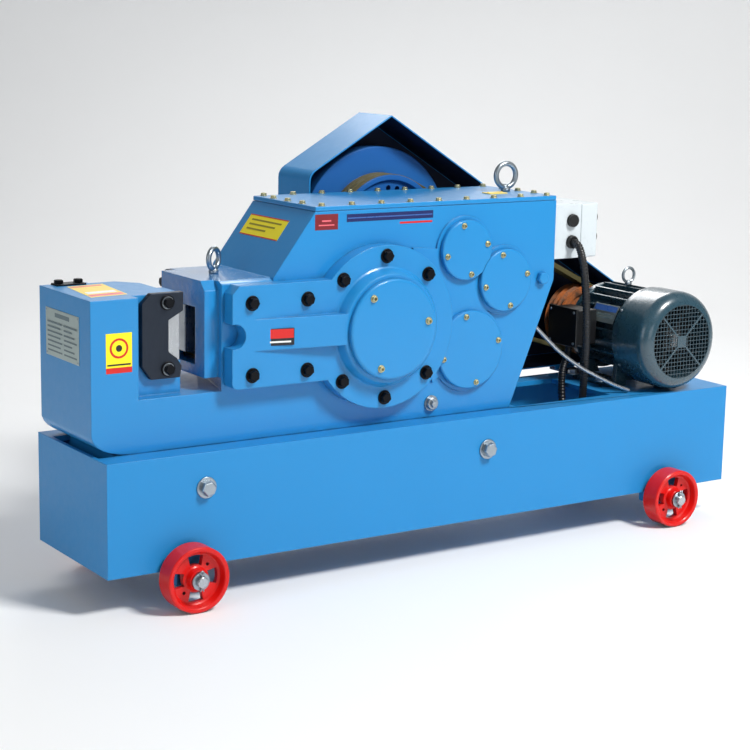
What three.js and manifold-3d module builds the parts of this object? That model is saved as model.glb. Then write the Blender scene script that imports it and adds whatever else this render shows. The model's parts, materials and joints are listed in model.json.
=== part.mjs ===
// Rebar cutter: a motor-driven bar shear on a wheeled box base.
//
// Units are millimetres, +Z is up. The model is laid out from the base frame's top face:
// X runs from the shearing head (left) to the motor (right), Y runs from the front face of the base to
// the rear, Z = 0 is the top of the base. The last lines move the whole group so that its origin is the
// middle of its footprint on the floor.

import * as THREE from 'three';
import { mergeVertices } from 'three/addons/utils/BufferGeometryUtils.js';
import Module from 'manifold-3d';

const wasm = await Module();
wasm.setup();

// ---------------------------------------------------------------- driving dimensions

const FIT = 0.3; // gap between pieces that touch or run in each other

// base frame and running gear
const BASE_LENGTH = 1410;
const BASE_DEPTH = 284;
const BASE_HEIGHT = 200;
const BASE_WALL = 8;
const FLANGE_WIDTH = 48;
const DECK_START = 1134; // the closed deck under the motor begins here
const BEARER_WIDTH = 56; // cross bearers that carry the casting
const BEARER_HEIGHT = 70;
const WHEEL_RADIUS = 59;
const WHEEL_WIDTH = 40;
const WHEEL_HUB_RADIUS = 17;
const AXLE_RADIUS = 10;
const AXLE_DROP = 211; // axle centre below the top of the base
const AXLE_INSET_LEFT = 150;
const AXLE_INSET_RIGHT = 166;
const AXLE_OVERHANG = 14; // past the wheel's outer face
const AXLE_BLOCK_HALF = 20;
const WHEEL_GAP = 6; // from the base's side to the wheel
const WHEEL_SIDES = 28; // the rim stands on one of its flats
const WHEEL_RIM = 11;
const WHEEL_WEB = 10;
const WHEEL_WINDOW_RADIUS = 10.5;
const BEARERS = [40, 330, 610, 838]; // left side of each cross bearer

// machine casting
const BODY_FRONT = 48;
const BODY_REAR = 270;
const BODY_WALL = 14;
const CASE_FLOOR = 9;
const HEAD_LEFT = -5;
const HEAD_RIGHT = 83;
const HEAD_TOP = 268;
const HEAD_REAR = 256;
const HEAD_LIFT = 22; // how far the head's toe is clear of the base
const JAW_FRONT = 75;
const JAW_REAR = 243;
const JAW_RIGHT = 176;
const THROAT_FLOOR = 93;
const THROAT_RIGHT_FRONT = 242;
const THROAT_SLANT = 60; // the throat's right wall runs back this far at the rear
const HOUSING_LEFT = 215; // end of the ram housing
const HOUSING_TOP = 285;
const HOUSING_UNDERSIDE = 116;
const HOUSING_FRONT = 60;
const HOUSING_REAR = 222;
const CASE_LEFT = 345; // foot of the sloping wall
const CASE_TOP_LEFT = 430;
const CASE_RIGHT = 976;
const CASE_TOP = 398;
const CASE_RIGHT_BREAK = 244; // the right wall slopes below this height
const CASE_FOOT_RIGHT = 877;
const CHAMBER_LEFT = 386;
const LID_THICKNESS = 9;

// gear train: module and tooth numbers
const FINAL_GEAR = { module: 6, pinion: 16, wheel: 56, front: 203, rear: 250 };
const MIDDLE_GEAR = { module: 4, pinion: 20, wheel: 55, front: 76, rear: 114 };
const FIRST_GEAR = { module: 3, pinion: 19, wheel: 56, front: 206, rear: 240 };
const FINAL_ANGLE = -16.6; // direction from the crankshaft to the third shaft, degrees above +X
const MIDDLE_ANGLE = 58.1;
const FIRST_ANGLE = 146.3;
const BACKLASH = 0.6;

// crank, slide block and ram
const CRANK_X = 564;
const CRANK_Z = 186;
const ECCENTRICITY = 22;
const CRANK_JOURNAL = 28;
const ECCENTRIC_RADIUS = 52;
const YOKE_FRONT = 126;
const YOKE_REAR = 174;
const BLOCK_HALF = 62;
const YOKE_SIDE_CLEARANCE = 5; // takes up the difference between the crank's sine and an even stroke
const YOKE_WALL = 18;
const RAM_FRONT = 100;
const RAM_REAR = 200;
const RAM_BOTTOM = 141;
const RAM_TOP = 231;
const LINER_THICKNESS = 5;
const BLADE_THICKNESS = 27;
const BLADE_HEIGHT = 85;
const BLADE_BOTTOM = 150;
const SHEAR_PLANE = 140;
const BLADE_DEPTH = 60;
const BLADE_HOLE_RADIUS = 7;
const JAW_OPENING = 42; // bar gap with the ram drawn back, 2 less than the stroke
const JAW_PLATE_THICKNESS = 12;
const JAW_PLATE_LEFT = 97;
const JAW_PLATE_BOTTOM = 122;
const JAW_PLATE_TOP = 271;
const JAW_PLATE_CORNER = 17;
const GUIDE_PLATE_THICKNESS = 10;
const GUIDE_PLATE_BOTTOM = 152;

// front covers
const COVER_THICKNESS = 30;
const COVER_LEFT = 247;
const COVER_BOTTOM = 99;
const COVER_TOP = 280;
const COVER_RADIUS = 150;
const COVER_CHAMFER = 14;
const COVER_NOTCH = 22;
const COVER_NOTCH_Z = 192;
const BOSS_RADIUS = 103;
const BOSS_HEIGHT = 20;
const END_CAP_RADIUS = 92;
const END_CAP_THICKNESS = 10;
const RIB_LEFT = 288;
const RIB_HALF = 28;
const PAD_THICKNESS = 4;
const PAD_MARGIN = 7;
const CAP_THICKNESS = 10;
const CAP_RADIUS_INPUT = 57;
const CAP_RADIUS_SECOND = 60;
const CAP_RADIUS_THIRD = 75;
const REAR_PLATE_THICKNESS = 10;

// shafts and bearings
const SHAFT_INPUT = 22;
const SHAFT_SECOND = 22;
const SHAFT_THIRD = 30;
const BEARING_WIDTH = 18;
const BEARING_RECESS = 2; // from the front face of the casting to a front bearing
const BEARING_WALL = 16;
const BUSH_WALL = 8;

// belt drive
const DRUM_RADIUS = 120;
const MOTOR_PULLEY_RADIUS = 75;
const PULLEY_FRONT = BODY_REAR + 26;
const GROOVE_PITCH = 15;
const GROOVE_COUNT = 3;
const GROOVE_EDGE = 10;
const GROOVE_HALF = 7;
const GROOVE_DEPTH = 12;
const GROOVE_FLANK = Math.tan((19 * Math.PI) / 180); // a 38 degree groove
const BELT_THICKNESS = 9;
const BELT_PROUD = 1; // how far a belt stands above the rims
const FLYWHEEL_RADIUS = 172;
const FLYWHEEL_RIM = 40;
const GUARD_DEPTH = 118;
const GUARD_FRONT = PULLEY_FRONT + 4;
const GUARD_REAR = GUARD_FRONT + GUARD_DEPTH;
const GUARD_SHEET = 3;
const GUARD_LEFT = 571;
const GUARD_SHOULDER = 440;
const GUARD_APEX_X = 759;
const GUARD_APEX_Z = 550;
const GUARD_RIGHT = 1372;
const GUARD_RIGHT_TOP = 172;
const GUARD_BOTTOM = 10;
const GUARD_ROUND = 14;
const GUARD_TAB_LOW = 250;
const GUARD_TAB_HIGH = 380;
const GUARD_TAB_WIDTH = 34;
const GUARD_FOOT_LEFT = 1196;
const GUARD_FOOT_RIGHT = 1250;

// motor
const MOTOR_X = 1272;
const MOTOR_Z = 105;
const MOTOR_FRONT = -6;
const FAN_COVER_RADIUS = 100;
const FAN_COVER_LENGTH = 101;
const FAN_COVER_SHEET = 3;
const FAN_COVER_CORNER = 27;
const STATOR_RADIUS = 80;
const FIN_RADIUS = 94;
const FIN_THICKNESS = 3.4;
const FIN_COUNT = 24;
const STATOR_END = 226;
const SHIELD_END = 268;
const MOTOR_SHAFT = 14;
const FOOT_THICKNESS = 12;
const FOOT_SPREAD = 88;
const TERMINAL_BOTTOM = 84;
const TERMINAL_HEIGHT = 72;
const TERMINAL_FRONT = 150;
const TERMINAL_REAR = 232;
const TERMINAL_DEPTH = 52;
const TERMINAL_LIP = 4;
const FAN_BLADE_RADIUS = 78;
const FAN_HUB_RADIUS = 26;

// control box and cables
const BOX_LEFT = CASE_RIGHT + FIT;
const BOX_WIDTH = 112;
const BOX_SPLIT = 70;
const BOX_FRONT = 56;
const BOX_DEPTH = 120;
const BOX_BOTTOM = 282;
const BOX_HEIGHT = 106;
const GLAND_X = 1023;
const GLAND_Z = 314;
const CONDUIT_RADIUS = 8;
const BUTTON_RADIUS = 12;
const BUTTON_TRAVEL = 4;
const BUTTON_Y = 80;
const BUTTON_STEM = 8;
const BOX_WALL = 4;
const STAY_RADIUS = 4;

// ---------------------------------------------------------------- colours

const SKY_BLUE = 0x3c96d5;
const WHEEL_RED = 0xd81e1e;
const STEEL = 0xb9bdc0;
const DARK_STEEL = 0x30343a;
const MOTOR_GREY = 0x45606f;
const RUST = 0xa1632f;
const RUBBER = 0x1b1b1b;
const OFF_WHITE = 0xeef2f2;
const BRONZE = 0xb08d57;
const BELT_COLOUR = 0x5b5a3c;

// ---------------------------------------------------------------- geometry helpers

const radians = (degrees) => (degrees * Math.PI) / 180;
const polar = (x, z, radius, degrees) => [
  x + radius * Math.cos(radians(degrees)),
  z + radius * Math.sin(radians(degrees)),
];

// a manifold solid from a closed three.js geometry, turned so that its faces point out
function solid(geometry) {
  const bare = geometry.index ? geometry.clone() : geometry;
  bare.deleteAttribute('normal');
  bare.deleteAttribute('uv');
  const merged = mergeVertices(bare, 1e-4);
  const place = merged.attributes.position.array;
  const index = merged.index.array;
  const kept = [];
  let volume = 0;
  const a = new THREE.Vector3();
  const b = new THREE.Vector3();
  const c = new THREE.Vector3();
  for (let i = 0; i < index.length; i += 3) {
    const [p, q, r] = [index[i], index[i + 1], index[i + 2]];
    if (p === q || q === r || r === p) {
      continue;
    }
    kept.push(p, q, r);
    a.fromArray(place, 3 * p);
    b.fromArray(place, 3 * q);
    c.fromArray(place, 3 * r);
    volume += a.dot(b.cross(c));
  }
  if (volume < 0) {
    kept.reverse();
  }
  const mesh = new wasm.Mesh({
    numProp: 3,
    vertProperties: new Float32Array(place),
    triVerts: new Uint32Array(kept),
  });
  return new wasm.Manifold(mesh);
}

const join = (first, ...rest) => rest.reduce((sum, piece) => sum.add(piece), first);
const cut = (first, ...rest) => rest.reduce((left, piece) => left.subtract(piece), first);

function box(x0, x1, y0, y1, z0, z1) {
  const geometry = new THREE.BoxGeometry(x1 - x0, y1 - y0, z1 - z0);
  return solid(geometry.translate((x0 + x1) / 2, (y0 + y1) / 2, (z0 + z1) / 2));
}

const outline = (points) => new THREE.Shape(points.map(([u, v]) => new THREE.Vector2(u, v)));

function extrude(shape, depth, segments) {
  return new THREE.ExtrudeGeometry(shape, { depth, bevelEnabled: false, curveSegments: segments });
}

// an outline in X and Z, carried from y0 to y1
function slabY(shape, y0, y1, segments = 16) {
  return solid(extrude(shape, y1 - y0, segments).rotateX(Math.PI / 2).translate(0, y1, 0));
}

// an outline in X and Y, carried from z0 to z1
function slabZ(shape, z0, z1, segments = 16) {
  return solid(extrude(shape, z1 - z0, segments).translate(0, 0, z0));
}

// an outline in Y and Z, carried from x0 to x1
function slabX(shape, x0, x1, segments = 16) {
  const turn = new THREE.Matrix4().makeBasis(
    new THREE.Vector3(0, 1, 0),
    new THREE.Vector3(0, 0, 1),
    new THREE.Vector3(1, 0, 0),
  );
  return solid(extrude(shape, x1 - x0, segments).applyMatrix4(turn).translate(x0, 0, 0));
}

// round bars along each axis
function barY(x, z, radius, y0, y1, sides = 24) {
  const geometry = new THREE.CylinderGeometry(radius, radius, y1 - y0, sides);
  return solid(geometry.translate(x, (y0 + y1) / 2, z));
}

function barX(y, z, radius, x0, x1, sides = 20) {
  const geometry = new THREE.CylinderGeometry(radius, radius, x1 - x0, sides);
  return solid(geometry.rotateZ(Math.PI / 2).translate((x0 + x1) / 2, y, z));
}

function barZ(x, y, radius, z0, z1, sides = 24) {
  const geometry = new THREE.CylinderGeometry(radius, radius, z1 - z0, sides);
  return solid(geometry.rotateX(Math.PI / 2).translate(x, y, (z0 + z1) / 2));
}

// a turned piece: radius and Y pairs, spun about an axis along Y through (x, z)
function turned(x, z, profile, sides = 28) {
  const points = profile.map(([radius, y]) => new THREE.Vector2(radius, y));
  return solid(new THREE.LatheGeometry(points, sides).translate(x, 0, z));
}

function rod(points, radius, sides, steps) {
  const curve = new THREE.CatmullRomCurve3(points.map(([x, y, z]) => new THREE.Vector3(x, y, z)));
  const section = new THREE.Shape();
  section.absarc(0, 0, radius, 0, 2 * Math.PI, false);
  const settings = { extrudePath: curve, steps, curveSegments: sides };
  return solid(new THREE.ExtrudeGeometry(section, settings));
}

function ring(x, z, inner, outer, y0, y1, sides = 24) {
  return cut(barY(x, z, outer, y0, y1, sides), barY(x, z, inner, y0 - 1, y1 + 1, sides));
}

const group = new THREE.Group();

function add(name, shape, colour, roughness, metalness) {
  const mesh = shape.getMesh();
  const geometry = new THREE.BufferGeometry();
  geometry.setAttribute('position', new THREE.BufferAttribute(mesh.vertProperties, 3));
  geometry.setIndex(new THREE.BufferAttribute(mesh.triVerts, 1));
  const material = new THREE.MeshStandardMaterial({ color: colour, roughness, metalness });
  const piece = new THREE.Mesh(geometry, material);
  piece.name = name;
  group.add(piece);
}

const addPainted = (name, shape, colour = SKY_BLUE) => add(name, shape, colour, 0.35, 0.1);
const addSteel = (name, shape, colour = STEEL) => add(name, shape, colour, 0.35, 0.9);

// ---------------------------------------------------------------- shaft positions

const centres = (gear) => (gear.module * (gear.pinion + gear.wheel)) / 2;
const crank = [CRANK_X, CRANK_Z];
const third = polar(...crank, centres(FINAL_GEAR), FINAL_ANGLE);
const second = polar(...third, centres(MIDDLE_GEAR), MIDDLE_ANGLE);
const input = polar(...second, centres(FIRST_GEAR), FIRST_ANGLE);

// ---------------------------------------------------------------- gears

// one flank's angle from the tooth's middle at a radius, for a 20 degree involute
function flankAngle(radius, pitchRadius, teeth) {
  const pressure = radians(20);
  const involute = (angle) => Math.tan(angle) - angle;
  const baseRadius = pitchRadius * Math.cos(pressure);
  const half = Math.PI / (2 * teeth) - BACKLASH / 4 / pitchRadius;
  const here = radius > baseRadius ? Math.acos(baseRadius / radius) : 0;
  return half + involute(pressure) - involute(here);
}

// a spur gear about (x, z); turn is the angle of one tooth's middle
function spurGear([x, z], module, teeth, turn, y0, y1) {
  const pitchRadius = (module * teeth) / 2;
  const radii = [pitchRadius - 1.15 * module, pitchRadius + 0.8 * module];
  const flank = radii.map((radius) => [radius, flankAngle(radius, pitchRadius, teeth)]);
  const rising = flank.map(([radius, angle]) => [radius, -angle]);
  const falling = [...flank].reverse();
  const points = [];
  for (let tooth = 0; tooth < teeth; tooth += 1) {
    const middle = turn + (2 * Math.PI * tooth) / teeth;
    for (const [radius, angle] of [...rising, ...falling]) {
      points.push([x + radius * Math.cos(middle + angle), z + radius * Math.sin(middle + angle)]);
    }
  }
  return slabY(outline(points), y0, y1);
}

function lightened(gear, [x, z], hub, rim, y0, y1, web) {
  const middle = (y0 + y1) / 2;
  const front = ring(x, z, hub, rim, y0 - 1, middle - web / 2);
  const rear = ring(x, z, hub, rim, middle + web / 2, y1 + 1);
  return cut(gear, front, rear);
}

// ---------------------------------------------------------------- base frame, axles and wheels

const axleSpots = [AXLE_INSET_LEFT, BASE_LENGTH - AXLE_INSET_RIGHT];

function baseFrame() {
  const inner = [BASE_WALL, BASE_DEPTH - BASE_WALL];
  const top = -BASE_WALL - 2;
  const tube = box(0, BASE_LENGTH, 0, BASE_DEPTH, -BASE_HEIGHT, 0);
  const room = box(BASE_WALL, BASE_LENGTH - BASE_WALL, ...inner, -BASE_HEIGHT - top, top);
  const mouth = [FLANGE_WIDTH, BASE_DEPTH - FLANGE_WIDTH];
  const upperMouth = box(BASE_WALL, DECK_START, ...mouth, top - 1, 1);
  const lowerMouth = box(BASE_WALL, BASE_LENGTH - BASE_WALL, ...mouth,
    -BASE_HEIGHT - 1, -BASE_HEIGHT - top + 1);
  const bearers = BEARERS.map((x) =>
    box(x, x + BEARER_WIDTH, inner[0] - 1, inner[1] + 1, -BEARER_HEIGHT, 0));
  const blocks = axleSpots.flatMap((x) => [0, BASE_DEPTH - FLANGE_WIDTH].map((y) =>
    box(x - AXLE_BLOCK_HALF, x + AXLE_BLOCK_HALF, y, y + FLANGE_WIDTH,
      -AXLE_DROP - AXLE_BLOCK_HALF, -BASE_HEIGHT + 1)));
  const bores = axleSpots.map((x) => barY(x, -AXLE_DROP, AXLE_RADIUS + FIT, -1, BASE_DEPTH + 1, 12));
  return cut(join(cut(tube, room, upperMouth, lowerMouth), ...bearers, ...blocks), ...bores);
}
addPainted('base_frame', baseFrame());

const axleReach = WHEEL_GAP + WHEEL_WIDTH + AXLE_OVERHANG;

function wheel(x, inside, outside) {
  const rimInner = WHEEL_RADIUS - WHEEL_RIM;
  const middle = (inside + outside) / 2;
  const tread = ring(x, -AXLE_DROP, rimInner, WHEEL_RADIUS, inside, outside, WHEEL_SIDES);
  const hub = barY(x, -AXLE_DROP, WHEEL_HUB_RADIUS, inside, outside, 12);
  const plate = barY(x, -AXLE_DROP, rimInner + 1, middle - WHEEL_WEB / 2, middle + WHEEL_WEB / 2, WHEEL_SIDES);
  const windows = [0, 90, 180, 270].map((angle) => {
    const [wx, wz] = polar(x, -AXLE_DROP, (rimInner + WHEEL_HUB_RADIUS) / 2, angle);
    return barY(wx, wz, WHEEL_WINDOW_RADIUS, middle - WHEEL_WEB, middle + WHEEL_WEB, 6);
  });
  const bore = barY(x, -AXLE_DROP, AXLE_RADIUS + FIT, inside - 1, outside + 1, 12);
  // half a side's turn puts a flat of the rim on the floor
  return cut(join(tread, plate, hub), ...windows, bore)
    .translate([-x, 0, AXLE_DROP])
    .rotate([0, 180 / WHEEL_SIDES, 0])
    .translate([x, 0, -AXLE_DROP]);
}

for (const [side, x] of [['left', axleSpots[0]], ['right', axleSpots[1]]]) {
  addSteel(`axle_${side}`, barY(x, -AXLE_DROP, AXLE_RADIUS, -axleReach, BASE_DEPTH + axleReach, 12));
  const front = [-WHEEL_GAP - WHEEL_WIDTH, -WHEEL_GAP];
  addPainted(`wheel_front_${side}`, wheel(x, ...front), WHEEL_RED);
  const rear = front.map((y) => BASE_DEPTH - y).reverse();
  addPainted(`wheel_rear_${side}`, wheel(x, ...rear), WHEEL_RED);
}

// ---------------------------------------------------------------- machine casting

const fixedBladeRight = JAW_RIGHT + 1;
const bladeTop = BLADE_BOTTOM + BLADE_HEIGHT;
const shafts = [
  { name: 'input', at: input, radius: SHAFT_INPUT, cap: CAP_RADIUS_INPUT },
  { name: 'second', at: second, radius: SHAFT_SECOND, cap: CAP_RADIUS_SECOND },
  { name: 'third', at: third, radius: SHAFT_THIRD, cap: CAP_RADIUS_THIRD },
];
const frontBearing = [BODY_FRONT + BEARING_RECESS, BODY_FRONT + BEARING_RECESS + BEARING_WIDTH];
const rearBearing = [BODY_REAR - BEARING_WIDTH, BODY_REAR];
const bearingOuter = (shaft) => shaft.radius + BEARING_WALL;
const crankHole = COVER_RADIUS - 14;

function headOutline() {
  const shape = new THREE.Shape();
  shape.moveTo(HEAD_LEFT, HEAD_TOP);
  shape.lineTo(HEAD_LEFT, HEAD_LIFT + 14);
  shape.quadraticCurveTo(HEAD_LEFT + 8, FIT + 4, HEAD_LEFT + 70, FIT);
  shape.lineTo(HEAD_RIGHT, FIT);
  shape.lineTo(HEAD_RIGHT, HEAD_TOP);
  return shape;
}

function castingOutside() {
  const head = slabY(headOutline(), BODY_FRONT, HEAD_REAR, 6);
  const jaw = slabZ(outline([
    [HEAD_RIGHT - 1, JAW_FRONT], [JAW_RIGHT, JAW_FRONT], [JAW_RIGHT, SHEAR_PLANE],
    [JAW_RIGHT - 12, SHEAR_PLANE], [JAW_RIGHT - 12, JAW_REAR - 38],
    [JAW_RIGHT - 44, JAW_REAR], [HEAD_RIGHT - 1, JAW_REAR],
  ]), THROAT_FLOOR - 1, HEAD_TOP);
  const beam = box(HEAD_RIGHT - 1, CASE_LEFT + 1, BODY_FRONT, HEAD_REAR - 6, FIT, THROAT_FLOOR);
  const throatWall = slabZ(outline([
    [THROAT_RIGHT_FRONT, BODY_FRONT], [CASE_LEFT + 1, BODY_FRONT],
    [CASE_LEFT + 1, HEAD_REAR - 6], [THROAT_RIGHT_FRONT + THROAT_SLANT, HEAD_REAR - 6],
  ]), THROAT_FLOOR - 1, HOUSING_UNDERSIDE + 1);
  const chamfer = 16;
  const housing = slabX(outline([
    [HOUSING_FRONT, HOUSING_UNDERSIDE], [HOUSING_REAR, HOUSING_UNDERSIDE],
    [HOUSING_REAR, HOUSING_TOP], [HOUSING_FRONT + chamfer, HOUSING_TOP],
    [HOUSING_FRONT, HOUSING_TOP - chamfer],
  ]), HOUSING_LEFT, CASE_LEFT + 1);
  const frontLand = slabX(outline([
    [BODY_FRONT, HOUSING_UNDERSIDE], [HEAD_REAR - 6, HOUSING_UNDERSIDE],
    [HEAD_REAR - 6, HOUSING_TOP - 8], [HEAD_REAR - 14, HOUSING_TOP],
    [BODY_FRONT + 12, HOUSING_TOP], [BODY_FRONT, HOUSING_TOP - 5],
  ]), THROAT_RIGHT_FRONT, CASE_LEFT + 1);
  const gearCase = slabY(outline([
    [CASE_LEFT, FIT], [CASE_FOOT_RIGHT, FIT], [CASE_RIGHT, CASE_RIGHT_BREAK],
    [CASE_RIGHT, CASE_TOP], [CASE_TOP_LEFT, CASE_TOP], [CASE_LEFT, HOUSING_TOP],
  ]), BODY_FRONT, BODY_REAR);
  return join(head, jaw, beam, throatWall, housing, frontLand, gearCase, bearingPad());
}

// the machined pad that the three bearing caps share, cleared for the crank cover's rim
function bearingPad() {
  const span = [BODY_FRONT - PAD_THICKNESS, BODY_FRONT + 1];
  const rounds = shafts.map(({ at, cap }) => barY(...at, cap + PAD_MARGIN, ...span, 32));
  const bridge = slabY(outline([
    [CRANK_X + COVER_RADIUS * 0.5, CRANK_Z + COVER_RADIUS * 0.92], input, second, third,
    [CRANK_X + COVER_RADIUS * 0.84, CRANK_Z - COVER_RADIUS * 0.8],
  ]), ...span);
  const rim = barY(...crank, COVER_RADIUS + 2 * FIT, BODY_FRONT - PAD_THICKNESS - 1, BODY_FRONT, 48);
  return cut(join(bridge, ...rounds), rim);
}

// the gear chamber follows the case's outline at the wall's thickness
function gearChamber() {
  const slope = (CASE_RIGHT - CASE_FOOT_RIGHT) / CASE_RIGHT_BREAK;
  const rightWall = BODY_WALL * Math.hypot(1, slope);
  const rise = (CASE_TOP - HOUSING_TOP) / (CASE_TOP_LEFT - CASE_LEFT);
  const drop = BODY_WALL * Math.hypot(1, rise);
  const slopeAt = (x) => HOUSING_TOP + rise * (x - CASE_LEFT) - drop;
  const topLeft = CASE_LEFT + (CASE_TOP - HOUSING_TOP + drop) / rise;
  return slabY(outline([
    [CHAMBER_LEFT, CASE_FLOOR],
    [CASE_FOOT_RIGHT + slope * CASE_FLOOR - rightWall, CASE_FLOOR],
    [CASE_RIGHT - rightWall, CASE_RIGHT_BREAK],
    [CASE_RIGHT - rightWall, CASE_TOP + 1],
    [topLeft, CASE_TOP + 1],
    [topLeft, CASE_TOP],
    [CHAMBER_LEFT, slopeAt(CHAMBER_LEFT)],
  ]), BODY_FRONT + BODY_WALL, BODY_REAR - BODY_WALL);
}

const tunnelFront = RAM_FRONT - LINER_THICKNESS - 2 * FIT;
const tunnelRear = RAM_REAR + LINER_THICKNESS + 2 * FIT;
const tunnelBottom = RAM_BOTTOM - LINER_THICKNESS - 2 * FIT;
const tunnelTop = RAM_TOP + LINER_THICKNESS + 2 * FIT;

function machineBody() {
  const bosses = shafts.flatMap((shaft) => [
    barY(...shaft.at, bearingOuter(shaft) + 9, BODY_FRONT + 1, frontBearing[1] + FIT),
    barY(...shaft.at, bearingOuter(shaft) + 9, rearBearing[0] - FIT, BODY_REAR - 1),
  ]);
  const crankBoss = barY(...crank, CRANK_JOURNAL + BUSH_WALL + 12, rearBearing[0] - FIT, BODY_REAR - 1);
  const bores = shafts.flatMap((shaft) => [
    barY(...shaft.at, bearingOuter(shaft) + FIT, BODY_FRONT - PAD_THICKNESS - 1, BODY_FRONT + BODY_WALL + 9),
    barY(...shaft.at, bearingOuter(shaft) + FIT, rearBearing[0] - 9, BODY_REAR + 1),
  ]);
  const crankBore = barY(...crank, CRANK_JOURNAL + BUSH_WALL + 2 * FIT, rearBearing[0] - 9, BODY_REAR + 1);
  const crankOpening = barY(...crank, crankHole, BODY_FRONT - 1, BODY_FRONT + BODY_WALL + 1, 40);
  const tunnel = box(HOUSING_LEFT - 1, CHAMBER_LEFT + 1, tunnelFront, tunnelRear,
    tunnelBottom, tunnelTop);
  const bladeSeat = box(fixedBladeRight - BLADE_THICKNESS - FIT, JAW_RIGHT + 1,
    JAW_FRONT - 1, SHEAR_PLANE + 1, BLADE_BOTTOM - FIT, bladeTop + FIT);
  const guideSeat = box(THROAT_RIGHT_FRONT - 20, THROAT_RIGHT_FRONT - 2, HOUSING_REAR, HEAD_REAR,
    GUIDE_PLATE_BOTTOM - 2, HOUSING_TOP);
  return cut(cut(castingOutside(), gearChamber()).add(join(crankBoss, ...bosses)),
    ...bores, crankBore, crankOpening, tunnel, bladeSeat, guideSeat);
}
addPainted('machine_body', machineBody());

function caseLid() {
  const drop = 6;
  const lid = box(CASE_TOP_LEFT, CASE_RIGHT, BODY_FRONT, BODY_REAR, CASE_TOP + FIT, CASE_TOP + LID_THICKNESS);
  const edge = BODY_WALL + 3;
  const spigot = box(CASE_TOP_LEFT + 2 * edge, CASE_RIGHT - edge - 2, BODY_FRONT + edge, BODY_REAR - edge,
    CASE_TOP - drop, CASE_TOP + 1);
  return join(lid, spigot);
}
addPainted('gear_case_lid', caseLid());

// ---------------------------------------------------------------- covers on the front and rear

const coverFace = BODY_FRONT - COVER_THICKNESS;
const bossFace = coverFace - BOSS_HEIGHT;
const capFace = bossFace - END_CAP_THICKNESS;

function crankCover() {
  const arm = slabY(outline([
    [COVER_LEFT, COVER_BOTTOM + 10], [COVER_LEFT + 3, COVER_BOTTOM + 3], [COVER_LEFT + 10, COVER_BOTTOM],
    [CRANK_X, COVER_BOTTOM], [CRANK_X, COVER_TOP],
    [COVER_LEFT + COVER_CHAMFER, COVER_TOP], [COVER_LEFT, COVER_TOP - COVER_CHAMFER],
  ]), coverFace, BODY_FRONT - FIT);
  const disc = barY(...crank, COVER_RADIUS, coverFace, BODY_FRONT - FIT, 48);
  const boss = turned(...crank, [
    [0, bossFace], [BOSS_RADIUS - 4, bossFace], [BOSS_RADIUS, bossFace + 4], [BOSS_RADIUS + 5, coverFace - 2],
    [BOSS_RADIUS + 10, coverFace + 1], [0, coverFace + 1],
  ], 40);
  const ribStart = CRANK_X - BOSS_RADIUS - 6;
  const rib = slabZ(outline([
    [RIB_LEFT, coverFace + 1], [RIB_LEFT, coverFace], [ribStart, bossFace],
    [CRANK_X - 70, bossFace], [CRANK_X - 70, coverFace + 1],
  ]), COVER_NOTCH_Z - RIB_HALF, COVER_NOTCH_Z + RIB_HALF);
  const notch = barY(COVER_LEFT + 5, COVER_NOTCH_Z, COVER_NOTCH, coverFace - 1, BODY_FRONT, 24);
  const bush = barY(...crank, CRANK_JOURNAL + BUSH_WALL + 2 * FIT, bossFace - 1, BODY_FRONT);
  return cut(join(arm, disc, boss, rib), notch, bush);
}
addPainted('crank_cover', crankCover());
addPainted('crank_end_cap', turned(...crank, [
  [0, capFace], [END_CAP_RADIUS - 3, capFace], [END_CAP_RADIUS, capFace + 3],
  [END_CAP_RADIUS, bossFace - FIT], [0, bossFace - FIT],
], 40));

const capRear = BODY_FRONT - PAD_THICKNESS - FIT;
const capSpan = [capRear - CAP_THICKNESS - 1, capRear + 1];
// the input cap is scalloped round the second one, and the third round the crank cover
const scallops = {
  input: barY(...second, CAP_RADIUS_SECOND + 2 * FIT, ...capSpan, 28),
  third: barY(...crank, COVER_RADIUS + 2 * FIT, ...capSpan, 48),
};
for (const { name, at, cap } of shafts) {
  const disc = turned(...at, [
    [0, capRear - CAP_THICKNESS], [cap - 2, capRear - CAP_THICKNESS], [cap, capRear - CAP_THICKNESS + 2],
    [cap, capRear], [0, capRear],
  ]);
  addPainted(`bearing_cap_${name}`, scallops[name] ? cut(disc, scallops[name]) : disc);
}

function rearPlate() {
  const [y0, y1] = [BODY_REAR + FIT, BODY_REAR + REAR_PLATE_THICKNESS];
  const spread = [...shafts.map((shaft) => [shaft.at, bearingOuter(shaft) + 16]), [crank, 58]];
  const discs = spread.map(([at, radius]) => barY(...at, radius, y0, y1));
  const bridge = outline([input, second, third, crank].map(([x, z]) => [x, z]));
  const shaftHole = barY(...input, SHAFT_INPUT + 2, y0 - 1, y1 + 1, 32);
  return cut(join(slabY(bridge, y0, y1), ...discs), shaftHole);
}
addPainted('rear_bearing_plate', rearPlate());

// ---------------------------------------------------------------- crank, slide block, ram and blades

const eccentricX = CRANK_X + ECCENTRICITY;
const journalEnd = bossFace + 3;

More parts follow.
